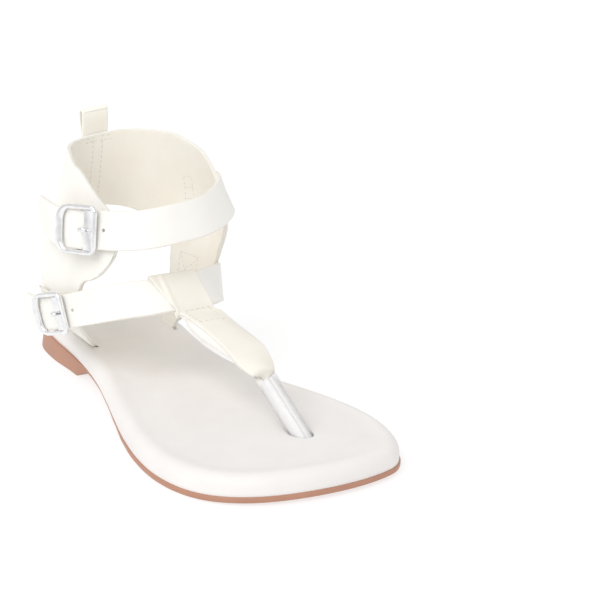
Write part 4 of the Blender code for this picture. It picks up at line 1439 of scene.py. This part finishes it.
def add_buckle(name, seat, node):
    """Buckle: a ring over the strap, a broad front plate and a centre bar below the strap."""
    half_long = BUCKLE_SPAN / 2
    half_tall = seat.width / 2 + GAP + BUCKLE_WIRE
    places = []
    for corner, (sx, sy) in enumerate(((1, 1), (-1, 1), (-1, -1), (1, -1))):
        radius, reach = (FRONT_CORNER, half_long) if sx > 0 else (REAR_CORNER, half_long - REAR_DRAW)
        for turn in spread(0.0, math.pi / 2, CORNER_STEPS):
            around = turn + corner * math.pi / 2
            ahead = sx * (reach - radius) + radius * math.cos(around)
            places.append((ahead, sy * (half_tall - radius) + radius * math.sin(around)))

    def broad(k):
        rear = ease(-places[k][0] / half_long * 2 - 1)
        return BUCKLE_WIRE + (REAR_BROAD - BUCKLE_WIRE) * rear

    bm = bmesh.new()
    points = [seat.point(ahead, up, seat.ring) for ahead, up in places]
    sweep(bm, points, [seat.out] * len(points), broad, lambda k: BUCKLE_WIRE, True)
    buckle = add_piece(name, bm, polished_silver)
    bm = bmesh.new()
    size = (PLATE_LENGTH, 2 * half_tall - 2 * BUCKLE_WIRE, PLATE_THICK)
    block(bm, seat.placed(half_long - PLATE_LENGTH / 2 + PLATE_REACH, 0.0, seat.ring), size)
    bmesh.ops.bevel(bm, geom=bm.edges[:], offset=PLATE_EDGE, segments=BEVEL_STEPS, profile=0.5, affect="EDGES")
    plate = add_piece(name + "_plate", bm)
    corners = ((half_tall, seat.ring), (half_tall, seat.bar), (-half_tall, seat.bar), (-half_tall, seat.ring))
    bar_points = [seat.point(CENTRE_BAR, up, out) for up, out in corners]
    bars = []
    for start, end in zip(bar_points, bar_points[1:]):
        bars.append(rod(f"{name}_bar_{len(bars)}", start, end, BUCKLE_WIRE, WIRE_SIDES))
    combine(buckle, "UNION", plate, *bars)
    buckle.data.shade_smooth()
    sharpen(buckle, degrees=50)
    dress(buckle, "buckle_metal", node)


def rounded(path, count):
    """Points spaced along a smooth curve through a path."""
    rows = [{"step": k, "x": p.x, "y": p.y, "z": p.z} for k, p in enumerate(path)]
    steps = spread(0, len(path) - 1, count)
    return [Vector([smooth(rows, "step", step, axis) for axis in "xyz"]) for step in steps]


def add_prong(name, seat, node):
    """Tongue from the centre bar up through the strap to the front plate."""
    top = seat.ring + PLATE_THICK / 2 + BAR_CLEAR + PRONG_RADIUS
    clear = LEATHER / 2 + GAP + PRONG_RADIUS
    outs = (seat.bar - PRONG_RADIUS / 2, seat.bar + PRONG_RADIUS, -LEATHER / 2, clear, top, top)
    path = [seat.point(PRONG_START + PRONG_REACH * share, 0.0, out) for share, out in zip(PRONG_SHARES, outs)]
    points = rounded(path, PRONG_ROWS)
    squares = []
    for k in range(len(points)):
        run = points[min(k + 1, len(points) - 1)] - points[max(k - 1, 0)]
        squares.append(run.cross(seat.up).normalized())

    def thick(k):
        left = min(1.0, (PRONG_ROWS - k) / PRONG_TIP_ROWS)
        return PRONG_RADIUS * (PRONG_TIP + (1 - PRONG_TIP) * math.sqrt(1 - (1 - left) ** 2))

    bm = bmesh.new()
    sweep(bm, points, squares, lambda k: PRONG_BROAD * thick(k), thick, False)
    prong = add_piece(name, bm, polished_silver)
    dress(prong, "buckle_metal", node)


add_buckle("ankle_buckle_frame", ankle_seat, "ankle_buckle")
add_buckle("instep_buckle_frame", instep_seat, "instep_buckle")
add_prong("ankle_buckle_prong", ankle_seat, "ankle_prong")
add_prong("instep_buckle_prong", instep_seat, "instep_prong")

# Rivet
# A small domed cap on the inner face of the lateral wing, over the seam of the instep chape.
# It is set through the leather with the metal of the buckles.
RIVET_RADIUS = 2.4
RIVET_HEAD = 0.9
RIVET_STAND = 0.85
RIVET_ANGLE = -80.0
RIVET_HEIGHT = 40.0
RIVET_STEPS = 6
RIVET_SIDE = 0.25
RIVET_FLAT = 0.08


def wall_frame(angle, height):
    """Point of the cuff's middle layer and its direction outwards."""
    wall = form_point(angle, height)
    rise = form_point(angle, height + FORM_STEP) - wall
    onward = form_point(angle + FORM_STEP, height) - wall
    return wall, facing_out(rise.cross(onward).normalized(), wall)


wall, outward = wall_frame(RIVET_ANGLE, RIVET_HEIGHT)
rivet_foot = wall - outward * (LEATHER / 2 + RIVET_STAND)
rivet_top = rivet_foot - outward * RIVET_HEAD
rivet_rings = [(RIVET_RADIUS, 0.0)]
for turn in spread(0.0, math.pi / 2, RIVET_STEPS)[:-1]:
    radius = RIVET_RADIUS * (RIVET_FLAT + (1 - RIVET_FLAT) * math.cos(turn))
    rivet_rings.append((radius, RIVET_SIDE + (1 - RIVET_SIDE) * math.sin(turn)))
rivet = turned_piece("wing_rivet_cap", polished_silver, rivet_rings, rivet_foot, rivet_top)
dress(rivet, "buckle_metal", "chape_rivet")

# Pull loop
# A strip of the cuff's leather folded into a loop above the rim at the back of the heel.
# Both of its ends are sewn to the outer face of the cuff.
PULL_WIDTH = 13.2
PULL_LEATHER = 1.2
PULL_SIDE = 1.0
PULL_RISE = 12.4
PULL_TILT = 0.15
PULL_LEG = 8.0
PULL_BULGE = 1.3
PULL_SHOULDER = 0.55
PULL_PARTING = 0.1
PULL_LEG_ROWS = 6
PULL_TURN_ROWS = 12
PULL_ROWS = 90
PULL_COLUMNS = 12
# The pull loop's two tones are the cuff's leather made lighter: painted light that lifts the loop out of its
# shade.
PULL_CREAM_PAINTED_LIGHT = (250, 247, 237)
PULL_DARK_PAINTED_LIGHT = (247, 243, 231)


def pull_grid():
    """Strip folded into a loop above the rim."""
    rim = smooth(CUFF, "angle", 0.0, "high")
    near = LEATHER / 2 + GAP + PULL_LEATHER / 2
    far = near + PULL_LEATHER + PULL_PARTING
    shoulder = rim + PULL_SHOULDER * PULL_RISE
    path = [(height, near) for height in spread(rim - PULL_LEG, rim, PULL_LEG_ROWS)]
    path.append((shoulder, near - PULL_BULGE))
    middle = (near + far) / 2
    wide = (far - near) / 2 + PULL_BULGE
    for turn in spread(math.pi, 0.0, PULL_TURN_ROWS):
        path.append((rim + PULL_RISE - wide + wide * math.sin(turn), middle + wide * math.cos(turn)))
    path.append((shoulder, far + PULL_BULGE))
    path += [(height, far) for height in spread(rim, rim - PULL_LEG, PULL_LEG_ROWS)]
    points = []
    for height, out in path:
        at = form_point(0.0, min(height, rim), out)
        points.append(Vector((PULL_SIDE, at.y, height)))
    points = rounded(points, PULL_ROWS)
    side = Vector((1, 0, PULL_TILT)).normalized()
    return ribbon(points, [PULL_WIDTH] * len(points), [side] * len(points), PULL_COLUMNS)


# The pull loop takes this lighter copy of the leather as painted light.
pull_leather_painted_light = leather("pull_loop_leather_painted_light", PULL_CREAM_PAINTED_LIGHT, PULL_DARK_PAINTED_LIGHT, rough=0.5)
pull_finishes_painted_light = (pull_leather_painted_light, cream_lining, edge_paint)
pull_loop = leather_piece("heel_pull_loop", pull_grid(), PULL_LEATHER, Vector((0, 0, 1)), pull_finishes_painted_light)
dress(pull_loop, "white_leather", "pull_loop")

# Stitching
# Off-white thread in lockstitch: the back seam, the pull loop, the straps' ends on the medial wing and the
# box below the instep strap where the toe strap is sewn to itself.
STITCH_PITCH = 2.4
STITCH_LENGTH = 1.9
THREAD = 0.2
THREAD_SINK = 0.04
STITCH_SIDES = 8
STITCH_RINGS = 6
SEAM_ROW_ENDS = (100.4, 71.0)
SEAM_ROW_OFF = 4.0
RAY_START = 200.0
INSIDE, OUTSIDE = -1, 1
# The thread's two tones are off-white made greyer, partly the thread's own tone and partly painted shade along
# the stitches.
THREAD_LIGHT_PAINTED_SHADE = (226, 221, 209)
THREAD_DARK_PAINTED_SHADE = (210, 203, 188)

# Rows on the lining, by angle and height: two at the pull loop, then the box and bar of the ankle strap's end
# and the box and cross of the instep strap's end
LINING_ROWS = (
    ((-10.5, 100.2), (13.5, 101.8)),
    ((-8.5, 102.0), (11.5, 103.6)),
    ((78.5, 74.8), (78.5, 85.6), (88.0, 86.4), (88.0, 75.6), (78.5, 74.8)),
    ((78.5, 80.4), (88.0, 81.2)),
    ((82.0, 33.0), (82.0, 48.6), (97.0, 49.4), (97.0, 34.2), (82.0, 33.0)),
    ((82.0, 33.0), (97.0, 49.4)),
    ((82.0, 48.6), (97.0, 34.2)),
)
# Corners of the toe strap's box in plan
TOE_BOX = ((-3.4, -26.0), (-4.8, -14.8), (6.8, -14.4), (8.0, -27.2), (-3.0, -27.0))


def thread_finish_painted_shade():
    """Twisted thread with a soft sheen, greyed partly in its own tone and partly as painted shade along the
    stitches.
    """
    thread = Finish("off_white_thread_painted_shade", Sheen_Weight=0.2)
    thread.colours(thread.noise(size=1.2), THREAD_DARK_PAINTED_SHADE, THREAD_LIGHT_PAINTED_SHADE)
    thread.gloss(thread.noise(size=0.4), low=0.55, high=0.8)
    thread.relief(thread.noise(size=0.2), depth=0.03)
    return thread.made


def stitch_tree():
    """Nodes that lay stitches end to end along lines, flat on the surface that the lines lie on."""
    tree = bpy.data.node_groups.new("stitch_rows", "GeometryNodeTree")
    sockets = {}
    for name, kind in (
        ("Rows", "NodeSocketGeometry"),
        ("Pitch", "NodeSocketFloat"),
        ("Stitch Size", "NodeSocketVector"),
        ("Thread", "NodeSocketMaterial"),
    ):
        sockets[name] = tree.interface.new_socket(name, in_out="INPUT", socket_type=kind).identifier
    tree.interface.new_socket("Stitches", in_out="OUTPUT", socket_type="NodeSocketGeometry")
    made = {}
    for name, kind in (
        ("given", "NodeGroupInput"),
        ("lines", "GeometryNodeMeshToCurve"),
        ("places", "GeometryNodeResampleCurve"),
        ("run", "GeometryNodeInputTangent"),
        ("out", "GeometryNodeInputNamedAttribute"),
        ("lie_along", "FunctionNodeAlignRotationToVector"),
        ("lie_flat", "FunctionNodeAlignRotationToVector"),
        ("bead", "GeometryNodeMeshUVSphere"),
        ("stitch", "GeometryNodeTransform"),
        ("smooth_stitch", "GeometryNodeSetShadeSmooth"),
        ("sewn", "GeometryNodeInstanceOnPoints"),
        ("real", "GeometryNodeRealizeInstances"),
        ("coloured", "GeometryNodeSetMaterial"),
        ("result", "NodeGroupOutput"),
    ):
        made[name] = tree.nodes.new(kind)
    made["places"].mode = "LENGTH"
    made["out"].data_type = "FLOAT_VECTOR"
    made["out"].inputs["Name"].default_value = "outward"
    made["lie_along"].axis = "X"
    made["lie_flat"].axis = "Z"
    made["lie_flat"].pivot_axis = "X"
    made["bead"].inputs["Segments"].default_value = STITCH_SIDES
    made["bead"].inputs["Rings"].default_value = STITCH_RINGS
    for source, out_socket, target, in_socket in (
        ("given", "Rows", "lines", "Mesh"),
        ("lines", "Curve", "places", "Curve"),
        ("given", "Pitch", "places", "Length"),
        ("run", "Tangent", "lie_along", "Vector"),
        ("lie_along", "Rotation", "lie_flat", "Rotation"),
        ("out", "Attribute", "lie_flat", "Vector"),
        ("bead", "Mesh", "stitch", "Geometry"),
        ("given", "Stitch Size", "stitch", "Scale"),
        ("stitch", "Geometry", "smooth_stitch", "Geometry"),
        ("places", "Curve", "sewn", "Points"),
        ("smooth_stitch", "Geometry", "sewn", "Instance"),
        ("lie_flat", "Rotation", "sewn", "Rotation"),
        ("sewn", "Instances", "real", "Geometry"),
        ("real", "Geometry", "coloured", "Geometry"),
        ("given", "Thread", "coloured", "Material"),
        ("coloured", "Geometry", "result", "Stitches"),
    ):
        tree.links.new(made[source].outputs[out_socket], made[target].inputs[in_socket])
    return tree, sockets


def corner_path(corners, count=12):
    """Even points along straight runs between corners."""
    path = []
    for a, b in zip(corners, corners[1:]):
        path += [(a[0] + (b[0] - a[0]) * t, a[1] + (b[1] - a[1]) * t) for t in spread(0.0, 1.0, count)[:-1]]
    return path + [corners[-1]]


def on_wall(corners, side):
    """A stitch row on one face of the cuff's wall, by angle and height."""
    row = []
    for angle, height in corner_path(corners):
        wall, outward = wall_frame(angle, height)
        row.append((wall + outward * side * (LEATHER / 2 - THREAD_SINK), outward * side))
    return row


def dropped(corners, *pieces):
    """A stitch row on the upper face of pieces, by places in plan."""
    trees = [BVHTree.FromObject(piece, bpy.context.evaluated_depsgraph_get()) for piece in pieces]
    row = []
    for x, along in corner_path(corners):
        above = Vector(((x + CENTRE_SHIFT) * MM, along * MM, RAY_START * MM))
        hits = [tree.ray_cast(above, Vector((0, 0, -1))) for tree in trees]
        spot, normal = max(((h[0], h[1]) for h in hits if h[0] is not None), key=lambda hit: hit[0].z)
        spot = spot / MM - Vector((CENTRE_SHIFT, 0, 0))
        row.append((spot - normal * THREAD_SINK, normal))
    return row


def seam_row(offset, side):
    """A row beside the back seam, from the rim's stitches down to the cuff's lower edge."""
    return on_wall([(seam_angle(height) + offset, height) for height in SEAM_ROW_ENDS], side)


def add_stitches(name, rows):
    """Stitches along rows, as a plain mesh."""
    mesh = bpy.data.meshes.new(name)
    points, edges, outs = [], [], []
    for row in rows:
        first = len(points)
        for spot, normal in row:
            points.append((spot + Vector((CENTRE_SHIFT, 0, 0))) * MM)
            outs.extend(normal)
        edges += [(k, k + 1) for k in range(first, len(points) - 1)]
    mesh.from_pydata(points, edges, [])
    outward = mesh.attributes.new("outward", "FLOAT_VECTOR", "POINT")
    outward.data.foreach_set("vector", outs)
    piece = add_object(name, mesh)
    tree, sockets = stitch_tree()
    sewing = piece.modifiers.new("sewing", "NODES")
    sewing.node_group = tree
    sewing[sockets["Pitch"]] = STITCH_PITCH * MM
    sewing[sockets["Stitch Size"]] = (STITCH_LENGTH / 2 * MM, THREAD * MM, THREAD * MM)
    sewing[sockets["Thread"]] = thread_finish_painted_shade()
    settle(piece)
    return piece


bpy.context.view_layer.update()
stitch_rows = [seam_row(offset, side) for side in (INSIDE, OUTSIDE) for offset in (-SEAM_ROW_OFF, SEAM_ROW_OFF)]
stitch_rows += [on_wall(corners, INSIDE) for corners in LINING_ROWS]
stitch_rows.append(dropped(TOE_BOX, toe_strap, toe_wrap))
stitching = add_stitches("upper_stitching", stitch_rows)
dress(stitching, "white_leather")

# Studio
# A plain white floor under a white sky, softer overhead, with one broad soft light from the lateral front.
# The camera stands where the photograph was taken from.
FLOOR_SIZE = 60000.0
FLOOR_DROP = 0.05
FLOOR_WHITE = (150, 150, 150)
FLOOR_GLOW = 0.72
SKY_LOW = 1.0
SKY_HIGH = 0.76
SKY_BLEND = 0.12
LIGHT_FROM = Vector((-0.68, -0.32, 0.8))
LIGHT_STRENGTH = 1.25
LIGHT_SPREAD = 50.0
CAMERA_PLACE = Vector((-202.2, -458.0, 177.0))
CAMERA_AZIMUTH = -30.0
CAMERA_ELEVATION = 15.0
LENS = 72.0
SENSOR = 36.0
CAMERA_NEAR = 10.0

floor_mesh = bpy.data.meshes.new("studio_floor")
bm = bmesh.new()
bmesh.ops.create_grid(bm, x_segments=1, y_segments=1, size=FLOOR_SIZE / 2 * MM)
bm.to_mesh(floor_mesh)
bm.free()
floor = add_object("studio_floor", floor_mesh)
floor.location.z = -FLOOR_DROP * MM
paper = Finish(
    "studio_paper",
    Roughness=0.9,
    Specular_IOR_Level=0.1,
    Base_Color=srgb(FLOOR_WHITE),
    Emission_Color=(1, 1, 1, 1),
    Emission_Strength=FLOOR_GLOW,
)
floor_mesh.materials.append(paper.made)
floor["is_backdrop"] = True

sun = bpy.data.lights.new("soft_light", "SUN")
sun.energy = LIGHT_STRENGTH
sun.angle = math.radians(LIGHT_SPREAD)
soft_light = add_object("soft_light", sun)
soft_light.rotation_mode = "QUATERNION"
soft_light.rotation_quaternion = (-LIGHT_FROM).to_track_quat("-Z", "Y")

sky = bpy.data.worlds.new("white_sky")
sky.use_nodes = True
sky_nodes, sky_links = sky.node_tree.nodes, sky.node_tree.links
sky_way = sky_nodes.new("ShaderNodeTexCoord")
sky_rise = sky_nodes.new("ShaderNodeSeparateXYZ")
sky_shade = sky_nodes.new("ShaderNodeMapRange")
sky_shade.inputs["From Max"].default_value = SKY_BLEND
sky_shade.inputs["To Min"].default_value = SKY_LOW
sky_shade.inputs["To Max"].default_value = SKY_HIGH
sky_links.new(sky_way.outputs["Generated"], sky_rise.inputs["Vector"])
sky_links.new(sky_rise.outputs["Z"], sky_shade.inputs["Value"])
sky_links.new(sky_shade.outputs["Result"], sky_nodes["Background"].inputs["Strength"])
sky_nodes["Background"].inputs["Color"].default_value = (1, 1, 1, 1)
bpy.context.scene.world = sky
bpy.context.scene.view_settings.view_transform = "Standard"

camera = add_object("camera", bpy.data.cameras.new("camera"))
camera.data.lens = LENS
camera.data.sensor_width = SENSOR
camera.data.clip_start = CAMERA_NEAR * MM
turn, tip = math.radians(CAMERA_AZIMUTH), math.radians(CAMERA_ELEVATION)
back = Vector((math.sin(turn) * math.cos(tip), -math.cos(turn) * math.cos(tip), math.sin(tip)))
camera.location = CAMERA_PLACE * MM
camera.rotation_mode = "QUATERNION"
camera.rotation_quaternion = (-back).to_track_quat("-Z", "Y")
bpy.context.scene.camera = camera

bpy.context.view_layer.update()
low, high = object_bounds()
